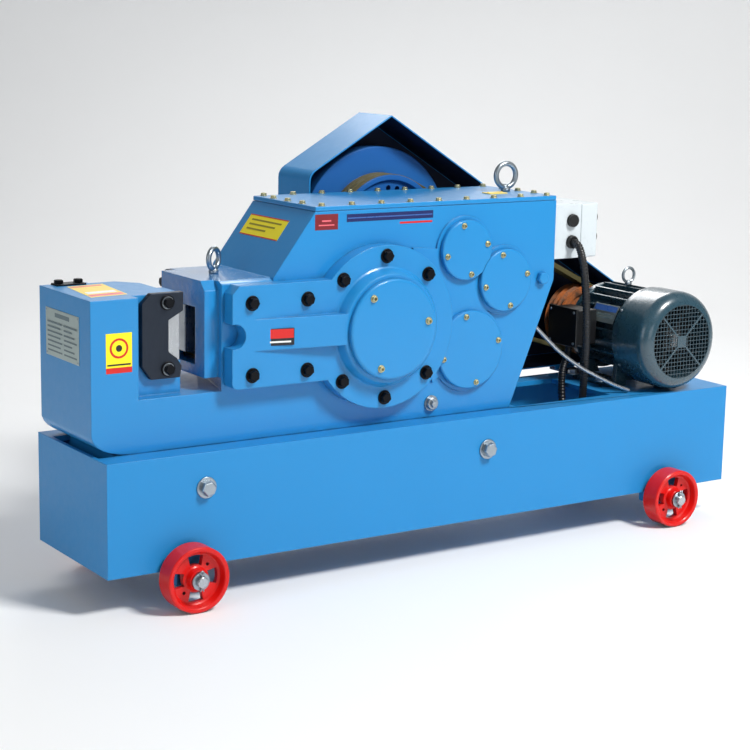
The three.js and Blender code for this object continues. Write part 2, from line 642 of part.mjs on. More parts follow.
function crankshaft() {
  const front = barY(...crank, CRANK_JOURNAL, journalEnd, YOKE_FRONT);
  const eccentric = barY(eccentricX, CRANK_Z, ECCENTRIC_RADIUS, YOKE_FRONT - 3, YOKE_REAR + 3, 40);
  const rear = barY(...crank, CRANK_JOURNAL + 6, YOKE_REAR, rearBearing[0] - 1);
  const tail = barY(...crank, CRANK_JOURNAL, rearBearing[0] - 2, BODY_REAR - 2);
  return join(front, eccentric, rear, tail);
}
addSteel('crankshaft', crankshaft());
addSteel('slide_block', cut(
  box(eccentricX - BLOCK_HALF, eccentricX + BLOCK_HALF, YOKE_FRONT, YOKE_REAR,
    CRANK_Z - BLOCK_HALF, CRANK_Z + BLOCK_HALF),
  barY(eccentricX, CRANK_Z, ECCENTRIC_RADIUS + FIT, YOKE_FRONT - 1, YOKE_REAR + 1, 40),
), BRONZE);
addSteel('crank_bush_front', ring(...crank, CRANK_JOURNAL + FIT, CRANK_JOURNAL + BUSH_WALL + FIT,
  bossFace + 2, BODY_FRONT - FIT), BRONZE);
addSteel('crank_bush_rear', ring(...crank, CRANK_JOURNAL + FIT, CRANK_JOURNAL + BUSH_WALL + FIT,
  ...rearBearing), BRONZE);

const movingBladeLeft = fixedBladeRight + JAW_OPENING;
const ramLeft = movingBladeLeft + BLADE_THICKNESS + FIT;

function ram() {
  const windowHalf = BLOCK_HALF + ECCENTRICITY + FIT;
  const windowLeft = eccentricX - BLOCK_HALF - YOKE_SIDE_CLEARANCE;
  const windowRight = eccentricX + BLOCK_HALF + YOKE_SIDE_CLEARANCE;
  const yoke = box(windowLeft - YOKE_WALL, windowRight + YOKE_WALL, YOKE_FRONT, YOKE_REAR,
    CRANK_Z - windowHalf - YOKE_WALL, CRANK_Z + windowHalf + YOKE_WALL);
  const window = box(windowLeft, windowRight, YOKE_FRONT - 1, YOKE_REAR + 1,
    CRANK_Z - windowHalf, CRANK_Z + windowHalf);
  const shank = box(ramLeft, windowLeft - YOKE_WALL + 1, RAM_FRONT, RAM_REAR, RAM_BOTTOM, RAM_TOP);
  return cut(join(shank, yoke), window);
}
addSteel('ram', ram(), DARK_STEEL);
const linerStart = ramLeft + 4;
addSteel('ram_liner', cut(
  box(linerStart, CHAMBER_LEFT - 6, tunnelFront + FIT, tunnelRear - FIT, tunnelBottom + FIT, tunnelTop - FIT),
  box(HOUSING_LEFT, CHAMBER_LEFT, RAM_FRONT - FIT, RAM_REAR + FIT, RAM_BOTTOM - FIT, RAM_TOP + FIT),
), BRONZE);

function blade(left, front, rear) {
  const body = box(left, left + BLADE_THICKNESS, front, rear, BLADE_BOTTOM, bladeTop);
  const hole = barX((front + rear) / 2, (BLADE_BOTTOM + bladeTop) / 2, BLADE_HOLE_RADIUS,
    left - 1, left + BLADE_THICKNESS + 1, 16);
  return cut(body, hole);
}
addSteel('fixed_blade',
  blade(fixedBladeRight - BLADE_THICKNESS, SHEAR_PLANE - BLADE_DEPTH, SHEAR_PLANE - FIT / 2));
addSteel('moving_blade', blade(movingBladeLeft, SHEAR_PLANE + FIT / 2, SHEAR_PLANE + BLADE_DEPTH));

function jawPlate() {
  const [y0, y1] = [JAW_FRONT - FIT - JAW_PLATE_THICKNESS, JAW_FRONT - FIT];
  const [left, right] = [JAW_PLATE_LEFT, JAW_RIGHT];
  const [bottom, top] = [JAW_PLATE_BOTTOM, JAW_PLATE_TOP];
  const corner = JAW_PLATE_CORNER;
  return slabY(outline([
    [left + corner, bottom], [right - 6, bottom], [right - 3, BLADE_BOTTOM - 8],
    [right - 12, BLADE_BOTTOM + 6], [right - 28, BLADE_BOTTOM + 18], [right - 28, bladeTop - 12],
    [right, bladeTop + 3], [right, top], [left + corner, top], [left, top - corner], [left, bottom + 24],
  ]), y0, y1);
}
addSteel('jaw_plate', jawPlate(), DARK_STEEL);
addSteel('guide_plate', slabX(outline([
  [HOUSING_REAR + FIT, GUIDE_PLATE_BOTTOM], [HEAD_REAR - 2, GUIDE_PLATE_BOTTOM],
  [HEAD_REAR - 2, HOUSING_TOP - 16],
  [HEAD_REAR - 7, HOUSING_TOP - 5], [HEAD_REAR - 18, HOUSING_TOP], [HOUSING_REAR + FIT, HOUSING_TOP],
]), THROAT_RIGHT_FRONT - FIT - GUIDE_PLATE_THICKNESS, THROAT_RIGHT_FRONT - FIT), DARK_STEEL);

// ---------------------------------------------------------------- gears, shafts and bearings

const finalLine = radians(FINAL_ANGLE);
const middleLine = radians(MIDDLE_ANGLE);
const firstLine = radians(FIRST_ANGLE);

function wheelGear(at, gear, line, shaftRadius) {
  const { module, wheel: teeth, front, rear } = gear;
  const whole = spurGear(at, module, teeth, line, front, rear);
  const rim = (module * teeth) / 2 - 3.4 * module;
  const webbed = lightened(whole, at, shaftRadius + 18, rim, front, rear, (rear - front) / 2.5);
  return cut(webbed, barY(...at, shaftRadius + FIT, front - 1, rear + 1));
}

// a wheel has a tooth on the line to its pinion, and the pinion has a gap there
function pinionShaft(at, gear, line, radius, ends) {
  const turn = line + Math.PI + Math.PI / gear.pinion;
  const teeth = spurGear(at, gear.module, gear.pinion, turn, gear.front - 1, gear.rear + 1);
  return join(barY(...at, radius, ...ends), teeth);
}

addSteel('crank_gear', wheelGear(crank, FINAL_GEAR, finalLine, CRANK_JOURNAL + 6), DARK_STEEL);
addSteel('third_gear', wheelGear(third, MIDDLE_GEAR, middleLine, SHAFT_THIRD), DARK_STEEL);
addSteel('second_gear', wheelGear(second, FIRST_GEAR, firstLine, SHAFT_SECOND), DARK_STEEL);

const shaftEnds = [frontBearing[0], BODY_REAR - 2];
addSteel('third_shaft', pinionShaft(third, FINAL_GEAR, finalLine, SHAFT_THIRD, shaftEnds));
addSteel('second_shaft', pinionShaft(second, MIDDLE_GEAR, middleLine, SHAFT_SECOND, shaftEnds));

const pulleyRear = PULLEY_FRONT + 2 * GROOVE_EDGE + (GROOVE_COUNT - 1) * GROOVE_PITCH;
const flywheelRear = pulleyRear + FLYWHEEL_RIM;
const inputEnds = [frontBearing[0], flywheelRear + 18];
addSteel('input_shaft', pinionShaft(input, FIRST_GEAR, firstLine, SHAFT_INPUT, inputEnds));

for (const shaft of shafts) {
  for (const [end, span] of [['front', frontBearing], ['rear', rearBearing]]) {
    addSteel(`bearing_${shaft.name}_${end}`,
      ring(...shaft.at, shaft.radius + FIT, bearingOuter(shaft), ...span));
  }
}

// ---------------------------------------------------------------- belt drive

const grooveMiddle = (index) => PULLEY_FRONT + GROOVE_EDGE + index * GROOVE_PITCH;

// the grooved rim of a pulley as radius and Y pairs, front to rear
function grooves(radius) {
  const floorHalf = GROOVE_HALF - GROOVE_DEPTH * GROOVE_FLANK;
  const points = [];
  for (let index = 0; index < GROOVE_COUNT; index += 1) {
    const y = grooveMiddle(index);
    points.push([radius, y - GROOVE_HALF], [radius - GROOVE_DEPTH, y - floorHalf],
      [radius - GROOVE_DEPTH, y + floorHalf], [radius, y + GROOVE_HALF]);
  }
  return points;
}

function flywheelPulley() {
  const bore = SHAFT_INPUT + FIT;
  const profile = [
    [bore, PULLEY_FRONT], [DRUM_RADIUS, PULLEY_FRONT], ...grooves(DRUM_RADIUS),
    [DRUM_RADIUS, pulleyRear], [FLYWHEEL_RADIUS, pulleyRear],
    [FLYWHEEL_RADIUS, flywheelRear], [FLYWHEEL_RADIUS - 30, flywheelRear],
    [FLYWHEEL_RADIUS - 34, pulleyRear + 16], [52, pulleyRear + 16], [48, flywheelRear],
    [bore, flywheelRear], [bore, PULLEY_FRONT],
  ];
  const holes = [77, 90, 257, 270].map((angle) =>
    barY(...polar(...input, 93, angle), 5.5, PULLEY_FRONT - 1, PULLEY_FRONT + 25, 8));
  return cut(turned(...input, profile, 36), ...holes);
}
addPainted('flywheel_pulley', flywheelPulley());

const motor = [MOTOR_X, MOTOR_Z];

// points round both pulleys: centre, rim radius and outward direction
function beltPath(steps) {
  const [dx, dz] = [motor[0] - input[0], motor[1] - input[1]];
  const line = Math.atan2(dz, dx);
  const spread = Math.acos((DRUM_RADIUS - MOTOR_PULLEY_RADIUS) / Math.hypot(dx, dz));
  const path = [];
  const sweep = (at, radius, from, to) => {
    for (let step = 0; step <= steps; step += 1) {
      const angle = from + ((to - from) * step) / steps;
      path.push({ at, radius, out: [Math.cos(angle), Math.sin(angle)] });
    }
  };
  sweep(input, DRUM_RADIUS, line + spread, line - spread + 2 * Math.PI);
  sweep(motor, MOTOR_PULLEY_RADIUS, line - spread, line + spread);
  return path;
}

// one V-belt: its section is a trapezoid that stands proud of the rim and sits clear of the groove floor
function belt(y) {
  const deep = BELT_THICKNESS - BELT_PROUD;
  const wide = GROOVE_HALF - GROOVE_FLANK - FIT;
  const narrow = GROOVE_HALF - GROOVE_FLANK * deep - FIT;
  const section = [[BELT_PROUD, -wide], [BELT_PROUD, wide], [-deep, narrow], [-deep, -narrow]];
  const path = beltPath(18);
  const place = path.flatMap(({ at, radius, out }) => section.flatMap(([height, side]) =>
    [at[0] + (radius + height) * out[0], y + side, at[1] + (radius + height) * out[1]]));
  const index = [];
  for (let i = 0; i < path.length; i += 1) {
    const next = (i + 1) % path.length;
    for (let k = 0; k < 4; k += 1) {
      const [a, b] = [4 * i + k, 4 * i + ((k + 1) % 4)];
      const [c, d] = [4 * next + k, 4 * next + ((k + 1) % 4)];
      index.push(a, b, d, a, d, c);
    }
  }
  const geometry = new THREE.BufferGeometry();
  geometry.setAttribute('position', new THREE.Float32BufferAttribute(place, 3));
  geometry.setIndex(index);
  return solid(geometry);
}
for (let index = 0; index < GROOVE_COUNT; index += 1) {
  add(`v_belt_${index + 1}`, belt(grooveMiddle(index)), BELT_COLOUR, 0.9, 0);
}

function beltGuard() {
  const ridge = (GUARD_APEX_Z - GUARD_SHOULDER) / (GUARD_APEX_X - GUARD_LEFT);
  const fall = (GUARD_APEX_Z - GUARD_RIGHT_TOP) / (GUARD_RIGHT - GUARD_APEX_X);
  const gable = (inset) => {
    const shape = new THREE.Shape();
    const left = GUARD_LEFT + inset;
    const right = GUARD_RIGHT - inset;
    const roofLeft = (x) => GUARD_APEX_Z - ridge * (GUARD_APEX_X - x) - inset * Math.hypot(1, ridge);
    const roofRight = (x) => GUARD_APEX_Z - fall * (x - GUARD_APEX_X) - inset * Math.hypot(1, fall);
    const top = GUARD_APEX_X + (inset * (Math.hypot(1, ridge) - Math.hypot(1, fall))) / (ridge + fall);
    shape.moveTo(left, GUARD_BOTTOM + inset);
    shape.lineTo(right, GUARD_BOTTOM + inset);
    shape.lineTo(right, roofRight(right));
    shape.lineTo(top, roofRight(top));
    shape.lineTo(left + GUARD_ROUND, roofLeft(left + GUARD_ROUND));
    shape.quadraticCurveTo(left, roofLeft(left), left, roofLeft(left) - GUARD_ROUND);
    return shape;
  };
  const outer = slabY(gable(0), GUARD_FRONT, GUARD_REAR, 4);
  const inner = slabY(gable(GUARD_SHEET), GUARD_FRONT - 1, GUARD_REAR - GUARD_SHEET, 4);
  const strut = box(GUARD_LEFT, GUARD_LEFT + GUARD_SHEET, BODY_REAR + FIT, GUARD_FRONT + 1,
    GUARD_TAB_LOW, GUARD_TAB_HIGH);
  const tab = box(GUARD_LEFT, GUARD_LEFT + GUARD_TAB_WIDTH, BODY_REAR + FIT, BODY_REAR + 4,
    GUARD_TAB_LOW, GUARD_TAB_HIGH);
  const foot = box(GUARD_FOOT_LEFT, GUARD_FOOT_RIGHT, BASE_DEPTH - GUARD_TAB_WIDTH, GUARD_FRONT + 20, FIT, 4);
  const riser = box(GUARD_FOOT_LEFT, GUARD_FOOT_RIGHT, GUARD_FRONT, GUARD_FRONT + 20, FIT, GUARD_BOTTOM + 1);
  return join(cut(outer, inner), strut, tab, foot, riser);
}
addPainted('belt_guard', beltGuard());

// ---------------------------------------------------------------- motor

const coverRear = MOTOR_FRONT + FAN_COVER_LENGTH;

function fanCover() {
  const r = FAN_COVER_RADIUS;
  const t = FAN_COVER_SHEET;
  const corner = FAN_COVER_CORNER;
  const mouth = r - corner;
  const arc = (radius) => [0, 45, 90].map((angle) => [
    mouth + radius * Math.sin(radians(angle)),
    MOTOR_FRONT + corner - radius * Math.cos(radians(angle)),
  ]);
  const shell = turned(...motor, [
    [0, MOTOR_FRONT], ...arc(corner), [r, coverRear], [r - t, coverRear],
    ...arc(corner - t).reverse(), [0, MOTOR_FRONT + t],
  ], 32);
  const pitch = 24;
  const bar = 5;
  const windows = [];
  for (let i = -3; i <= 3; i += 1) {
    for (let k = -3; k <= 3; k += 1) {
      const [x, z] = [i * pitch, k * pitch];
      const far = Math.hypot(Math.abs(x) + pitch / 2, Math.abs(z) + pitch / 2);
      if (far < mouth + 9 && Math.hypot(x, z) > pitch / 2) {
        windows.push(box(MOTOR_X + x - pitch / 2 + bar / 2, MOTOR_X + x + pitch / 2 - bar / 2,
          MOTOR_FRONT - 1, MOTOR_FRONT + t + 1,
          MOTOR_Z + z - pitch / 2 + bar / 2, MOTOR_Z + z + pitch / 2 - bar / 2));
      }
    }
  }
  return cut(shell, ...windows);
}
add('motor_fan_cover', fanCover(), MOTOR_GREY, 0.4, 0.4);

function motorHousing() {
  const start = coverRear + FIT;
  const pieces = [barY(...motor, STATOR_RADIUS, start, STATOR_END, 32)];
  for (let index = 0; index < FIN_COUNT; index += 1) {
    const angle = (360 * (index + 0.5)) / FIN_COUNT;
    if (angle > 225 && angle < 315) {
      continue;
    }
    const fin = box(STATOR_RADIUS - 2, FIN_RADIUS, start, STATOR_END, -FIN_THICKNESS / 2, FIN_THICKNESS / 2);
    pieces.push(fin.rotate([0, -angle, 0]).translate([MOTOR_X, 0, MOTOR_Z]));
  }
  for (const side of [-1, 1]) {
    const x = MOTOR_X + side * FOOT_SPREAD;
    pieces.push(box(Math.min(x - side * 40, x + side * 6), Math.max(x - side * 40, x + side * 6),
      start + 8, STATOR_END - 6, FIT, FOOT_THICKNESS));
    for (const y of [start + 8, STATOR_END - 18]) {
      pieces.push(slabY(outline([
        [MOTOR_X + side * 40, 30], [MOTOR_X + side * 30, FOOT_THICKNESS - 1],
        [MOTOR_X + side * (FOOT_SPREAD - 10), FOOT_THICKNESS - 1], [MOTOR_X + side * 72, 70],
      ]), y, y + 12));
    }
  }
  const inside = barY(...motor, STATOR_RADIUS - 10, start + 10, STATOR_END + 1, 32);
  const shaftHole = barY(...motor, MOTOR_SHAFT + 2, start - 1, STATOR_END, 24);
  return cut(join(...pieces), inside, shaftHole);
}
add('motor_housing', motorHousing(), MOTOR_GREY, 0.5, 0.4);
add('motor_end_shield', turned(...motor, [
  [MOTOR_SHAFT + 1, STATOR_END + FIT], [FIN_RADIUS - 4, STATOR_END + FIT], [FIN_RADIUS - 4, STATOR_END + 16],
  [STATOR_RADIUS - 14, SHIELD_END - 8], [46, SHIELD_END - 4], [42, SHIELD_END], [MOTOR_SHAFT + 1, SHIELD_END],
  [MOTOR_SHAFT + 1, STATOR_END + FIT],
]), MOTOR_GREY, 0.5, 0.4);
const statorSpan = [coverRear + 24, STATOR_END - 16];
addSteel('motor_stator', ring(...motor, 44, STATOR_RADIUS - 10 - FIT, ...statorSpan, 32), DARK_STEEL);
addSteel('motor_rotor', turned(...motor, [
  [0, MOTOR_FRONT + 20], [MOTOR_SHAFT, MOTOR_FRONT + 20], [MOTOR_SHAFT, coverRear + 24],
  [42, coverRear + 24], [42, STATOR_END - 16], [MOTOR_SHAFT, STATOR_END - 16],
  [MOTOR_SHAFT, pulleyRear + 4], [0, pulleyRear + 4],
], 32));

function motorFan() {
  const [y0, y1] = [MOTOR_FRONT + 28, MOTOR_FRONT + 66];
  const hub = barY(...motor, FAN_HUB_RADIUS, y0, y1, 24);
  const plate = barY(...motor, FAN_BLADE_RADIUS, y1 - 5, y1, 32);
  const blades = [0, 60, 120, 180, 240, 300].map((angle) =>
    box(FAN_HUB_RADIUS - 6, FAN_BLADE_RADIUS, y0 + 4, y1 - 1, -1.5, 1.5)
      .rotate([0, -angle, 0])
      .translate([MOTOR_X, 0, MOTOR_Z]));
  return cut(join(hub, plate, ...blades), barY(...motor, MOTOR_SHAFT + FIT, y0 - 1, y1 + 1, 24));
}
add('motor_fan', motorFan(), RUBBER, 0.6, 0);

addSteel('motor_pulley', turned(...motor, [
  [MOTOR_SHAFT + FIT, PULLEY_FRONT], [30, PULLEY_FRONT], [34, PULLEY_FRONT + 8], [56, PULLEY_FRONT + 8],
  [60, PULLEY_FRONT], [MOTOR_PULLEY_RADIUS, PULLEY_FRONT], ...grooves(MOTOR_PULLEY_RADIUS),
  [MOTOR_PULLEY_RADIUS, pulleyRear], [MOTOR_SHAFT + FIT, pulleyRear], [MOTOR_SHAFT + FIT, PULLEY_FRONT],
], 24), RUST);

const terminalRight = MOTOR_X - FIN_RADIUS - FIT;
add('motor_terminal_box', join(
  box(terminalRight - TERMINAL_DEPTH, terminalRight, TERMINAL_FRONT, TERMINAL_REAR,
    TERMINAL_BOTTOM, TERMINAL_BOTTOM + TERMINAL_HEIGHT),
  box(terminalRight - TERMINAL_DEPTH - 6, terminalRight - TERMINAL_DEPTH + 1,
    TERMINAL_FRONT - TERMINAL_LIP, TERMINAL_REAR + TERMINAL_LIP,
    TERMINAL_BOTTOM - TERMINAL_LIP, TERMINAL_BOTTOM + TERMINAL_HEIGHT + TERMINAL_LIP),
), MOTOR_GREY, 0.4, 0.3);

// ---------------------------------------------------------------- lifting eyes

function eyebolt(x, y, base, ringRadius, wire, turn) {
  const eye = solid(new THREE.TorusGeometry(ringRadius, wire, 6, 18));
  const upright = eye.rotate([90, 0, turn]).translate([x, y, base + ringRadius + wire + 3]);
  const collar = barZ(x, y, wire + 4, base, base + 6, 10);
  const neck = barZ(x, y, wire, base + 5, base + wire + 6, 8);
  return join(upright, collar, neck);
}
addSteel('lid_eyebolt', eyebolt(936, 158, CASE_TOP + LID_THICKNESS + FIT, 23, 5.5, 10));
addSteel('ram_housing_eyebolt', eyebolt(283, 152, HOUSING_TOP + FIT, 18, 5, 60));
addSteel('motor_eyebolt', eyebolt(MOTOR_X - 4, 160, MOTOR_Z + FIN_RADIUS + 1, 15, 3.2, 0));

// ---------------------------------------------------------------- control box, conduit and stay

const boxRear = BOX_FRONT + BOX_DEPTH;
const boxTop = BOX_BOTTOM + BOX_HEIGHT;
const splitX = BOX_LEFT + BOX_SPLIT;
const boxRight = BOX_LEFT + BOX_WIDTH;
const buttonSpots = [['start', 358], ['stop', 320]];

function controlBox() {
  const shell = box(BOX_LEFT, splitX, BOX_FRONT, boxRear, BOX_BOTTOM, boxTop);
  const inside = box(BOX_LEFT + BOX_WALL, splitX + 1, BOX_FRONT + BOX_WALL, boxRear - BOX_WALL,
    BOX_BOTTOM + BOX_WALL, boxTop - BOX_WALL);
  const entry = barY(GLAND_X, GLAND_Z, 11 + FIT, BOX_FRONT - 1, BOX_FRONT + 5, 16);
  return cut(shell, inside, entry);
}
addPainted('control_box', controlBox(), OFF_WHITE);

function controlLid() {
  const shell = box(splitX + FIT, boxRight, BOX_FRONT, boxRear, BOX_BOTTOM, boxTop);
  const inside = box(splitX, boxRight - BOX_WALL, BOX_FRONT + BOX_WALL, boxRear - BOX_WALL,
    BOX_BOTTOM + BOX_WALL, boxTop - BOX_WALL);
  const holes = buttonSpots.map(([, z]) => barX(BUTTON_Y, z, BUTTON_STEM + FIT, boxRight - 5, boxRight + 1));
  return cut(shell, inside, ...holes);
}
addPainted('control_box_lid', controlLid(), OFF_WHITE);

for (const [name, z] of buttonSpots) {
  const stem = barX(BUTTON_Y, z, BUTTON_STEM, boxRight - 12, boxRight + BUTTON_TRAVEL + 1);
  const cap = barX(BUTTON_Y, z, BUTTON_RADIUS, boxRight + BUTTON_TRAVEL + FIT, boxRight + BUTTON_TRAVEL + 8);
  add(`${name}_button`, join(stem, cap), RUBBER, 0.4, 0);
}

add('conduit_gland', cut(
  join(barY(GLAND_X, GLAND_Z, 13, BOX_FRONT - 9, BOX_FRONT - FIT, 16),
    barY(GLAND_X, GLAND_Z, 11, BOX_FRONT - 1, BOX_FRONT + 8, 16)),
  barY(GLAND_X, GLAND_Z, CONDUIT_RADIUS + 4 * FIT, BOX_FRONT - 10, BOX_FRONT + 9, 16),
), RUBBER, 0.5, 0);
// from the control box's gland down into the base, and up again to the motor's terminal box
add('conduit', rod([
  [GLAND_X, BOX_FRONT + 3, GLAND_Z], [GLAND_X, 44, GLAND_Z - 1], [1024, 32, 306], [1029, 27, 284],
  [1038, 29, 250], [1054, 40, 198], [1072, 57, 136], [1088, 75, 80], [1101, 93, 18], [1107, 104, -28],
  [1111, 124, -58], [1116, 152, -66], [1120, 178, -48], [1123, 188, -12], [1125, 191, 20], [1131, 191, 44],
  [1138, 191, 62], [1140, 191, TERMINAL_BOTTOM - 5],
], CONDUIT_RADIUS, 3, 40), RUBBER, 0.6, 0);

const stayWall = CASE_FOOT_RIGHT + ((CASE_RIGHT - CASE_FOOT_RIGHT) * 168) / CASE_RIGHT_BREAK;
addSteel('stay_rod', rod([
  [1178, 42, STAY_RADIUS + 1.5], [1144, 50, 19], [1114, 58, 34], [1073, 70, 57], [1029, 84, 90], [999, 96, 121],
  [976, 106, 146], [stayWall + 6, 114, 168],
], STAY_RADIUS, 3, 14));

// ---------------------------------------------------------------- origin

const bounds = new THREE.Box3().setFromObject(group);
const centre = bounds.getCenter(new THREE.Vector3());
group.position.set(-centre.x, -centre.y, -bounds.min.z);

export default group;
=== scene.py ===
# Rebar cutter: the visible model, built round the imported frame.
#
# Distances in the making functions are millimetres from the base frame's top front left corner: X to the
# right, Y to the rear, Z up. at() turns them into the frame's metres.

import json
import math

import bmesh
import bpy
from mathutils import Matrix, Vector


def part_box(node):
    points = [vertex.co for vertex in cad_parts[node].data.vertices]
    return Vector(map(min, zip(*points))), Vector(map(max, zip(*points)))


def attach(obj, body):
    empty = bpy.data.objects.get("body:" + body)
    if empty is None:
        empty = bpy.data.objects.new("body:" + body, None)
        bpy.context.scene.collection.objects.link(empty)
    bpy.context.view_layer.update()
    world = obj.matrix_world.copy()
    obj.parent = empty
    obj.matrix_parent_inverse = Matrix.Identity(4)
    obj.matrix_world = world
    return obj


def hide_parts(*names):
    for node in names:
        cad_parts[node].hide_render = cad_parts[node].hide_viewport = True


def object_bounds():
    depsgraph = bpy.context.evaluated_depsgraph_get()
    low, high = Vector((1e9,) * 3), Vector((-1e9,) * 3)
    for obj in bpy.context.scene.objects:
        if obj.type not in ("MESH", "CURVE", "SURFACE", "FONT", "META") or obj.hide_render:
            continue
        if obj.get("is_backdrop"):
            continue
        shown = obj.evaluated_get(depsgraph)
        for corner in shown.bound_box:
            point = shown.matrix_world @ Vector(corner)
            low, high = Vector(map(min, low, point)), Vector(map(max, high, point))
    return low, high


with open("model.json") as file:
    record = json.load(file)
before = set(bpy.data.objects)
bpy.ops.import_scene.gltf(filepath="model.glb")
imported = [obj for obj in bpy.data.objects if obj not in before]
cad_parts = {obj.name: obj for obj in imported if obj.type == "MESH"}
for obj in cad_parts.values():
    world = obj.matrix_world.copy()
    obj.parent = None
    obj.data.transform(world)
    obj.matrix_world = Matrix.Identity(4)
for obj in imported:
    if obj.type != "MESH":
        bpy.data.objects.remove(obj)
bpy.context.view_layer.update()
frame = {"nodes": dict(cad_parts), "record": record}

MM = 0.001
base_low, base_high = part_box("base_frame")
CORNER = Vector((base_low.x, base_low.y, base_high.z))
RECORD = frame["record"]
BODY = {node: body for body, names in RECORD["behaviour"]["bodies"].items() for node in names}
SLOT = {row["node"]: row["material_slot"] for row in RECORD["subparts"]}


def at(x, y, z):
    return CORNER + Vector((x, y, z)) * MM


def span(node):
    """Lowest and highest corners of a node, in millimetres from the base's corner."""
    low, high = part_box(node)
    return (low - CORNER) / MM, (high - CORNER) / MM


def middle(node):
    low, high = span(node)
    return (low + high) / 2


# ---------------------------------------------------------------- places taken from the frame

lid_low, lid_high = span("gear_case_lid")
cover_low = span("crank_cover")[0]
crank_cap_low, crank_cap_high = span("crank_end_cap")
CAST_FRONT = span("machine_body")[0].y + 4
LID_TOP = lid_high.z
CRANK = middle("crank_end_cap")
MOTOR = middle("motor_rotor")
INPUT = middle("flywheel_pulley")
BASE_WIDTH = (base_high.y - base_low.y) / MM
FRONT_WAY = Vector((0, -1, 0))
UP = Vector((0, 0, 1))


# ---------------------------------------------------------------- shader node groups


def new_group(name, inputs, outputs):
    tree = bpy.data.node_groups.new(name, "ShaderNodeTree")
    for label, kind, value in inputs:
        socket = tree.interface.new_socket(label, in_out="INPUT", socket_type=kind)
        socket.default_value = value
    for label, kind in outputs:
        tree.interface.new_socket(label, in_out="OUTPUT", socket_type=kind)
    return tree, tree.nodes.new("NodeGroupInput"), tree.nodes.new("NodeGroupOutput")


def node(tree, kind, links=None, **values):
    made = tree.nodes.new(kind)
    for key, value in values.items():
        setattr(made, key, value)
    for key, value in (links or {}).items():
        socket = made.inputs[key]
        if hasattr(value, "is_output"):
            tree.links.new(value, socket)
        else:
            socket.default_value = value
    return made


def math_node(tree, operation, first, second=0.0, clamp=False):
    return node(tree, "ShaderNodeMath", {0: first, 1: second}, operation=operation, use_clamp=clamp).outputs[0]


def blend_colour(tree, factor, first, second, mode="MIX"):
    made = node(tree, "ShaderNodeMix", data_type="RGBA", blend_type=mode)
    for socket, value in ((made.inputs[0], factor), (made.inputs[6], first), (made.inputs[7], second)):
        if hasattr(value, "is_output"):
            tree.links.new(value, socket)
        else:
            socket.default_value = value
    return made.outputs[2]


def stretched(tree, scale):
    place = node(tree, "ShaderNodeTexCoord").outputs["Object"]
    return node(tree, "ShaderNodeMapping", {"Vector": place, "Scale": scale}).outputs[0]


def noise(tree, size, detail=3.0, roughness=0.55, scale=(1, 1, 1)):
    """Noise whose features are about size metres across."""
    links = {"Vector": stretched(tree, scale), "Scale": 1 / size, "Detail": detail, "Roughness": roughness}
    return node(tree, "ShaderNodeTexNoise", links).outputs[0]


def steps(tree, value, low, high):
    links = {"Value": value, "From Min": low, "From Max": high, "To Min": 0.0, "To Max": 1.0}
    return node(tree, "ShaderNodeMapRange", links, interpolation_type="SMOOTHSTEP").outputs[0]


def build_tone_group():
    """Slow drifts of shade and a film of dust on what faces up."""
    tree, given, result = new_group("surface tone", [
        ("Color", "NodeSocketColor", (0.5, 0.5, 0.5, 1)),
        ("Dust Color", "NodeSocketColor", (0.45, 0.42, 0.38, 1)),
        ("Drift", "NodeSocketFloat", 0.12),
        ("Dust", "NodeSocketFloat", 0.1),
    ], [("Color", "NodeSocketColor"), ("Roughness", "NodeSocketFloat")])
    wide = noise(tree, 0.22, 4.0)
    fine = noise(tree, 0.018, 4.0, 0.7)
    drift = math_node(tree, "MULTIPLY", math_node(tree, "SUBTRACT", wide, 0.5), given.outputs["Drift"])
    shade = math_node(tree, "ADD", 1.0, math_node(tree, "MULTIPLY", drift, 2.0))
    grey = node(tree, "ShaderNodeCombineColor", {0: shade, 1: shade, 2: shade}).outputs[0]
    toned = blend_colour(tree, 1.0, given.outputs["Color"], grey, "MULTIPLY")
    normal = node(tree, "ShaderNodeSeparateXYZ", {0: node(tree, "ShaderNodeNewGeometry").outputs["Normal"]})
    level = steps(tree, normal.outputs["Z"], 0.55, 1.0)
    film = math_node(tree, "MULTIPLY", level, steps(tree, fine, 0.35, 0.75))
    film = math_node(tree, "MULTIPLY", film, given.outputs["Dust"], clamp=True)
    dusty = blend_colour(tree, film, toned, given.outputs["Dust Color"])
    gloss = math_node(tree, "MULTIPLY", math_node(tree, "SUBTRACT", fine, 0.5), 0.25)
    gloss = math_node(tree, "ADD", gloss, math_node(tree, "MULTIPLY", film, 0.35))
    tree.links.new(dusty, result.inputs["Color"])
    tree.links.new(gloss, result.inputs["Roughness"])
    return tree


def build_edge_group():
    """A mask along edges, used for wear and, where the edge colour is pale, for a painted highlight; and the normal
    of an edge rounded by the same radius.
    """
    tree, given, result = new_group("worn and highlighted edges", [
        ("Radius", "NodeSocketFloat", 0.0015),
        ("Wear", "NodeSocketFloat", 0.5),
    ], [("Mask", "NodeSocketFloat"), ("Normal", "NodeSocketVector")])
    rounded = node(tree, "ShaderNodeBevel", {"Radius": given.outputs["Radius"]}, samples=4).outputs[0]
    flat = node(tree, "ShaderNodeNewGeometry").outputs["Normal"]
    facing = node(tree, "ShaderNodeVectorMath", {0: rounded, 1: flat}, operation="DOT_PRODUCT").outputs["Value"]
    edge = steps(tree, facing, 0.995, 0.82)
    patchy = steps(tree, noise(tree, 0.012, 5.0, 0.7), 0.46, 0.62)
    mask = math_node(tree, "MULTIPLY", math_node(tree, "MULTIPLY", edge, patchy), given.outputs["Wear"], clamp=True)
    tree.links.new(mask, result.inputs["Mask"])
    tree.links.new(rounded, result.inputs["Normal"])
    return tree


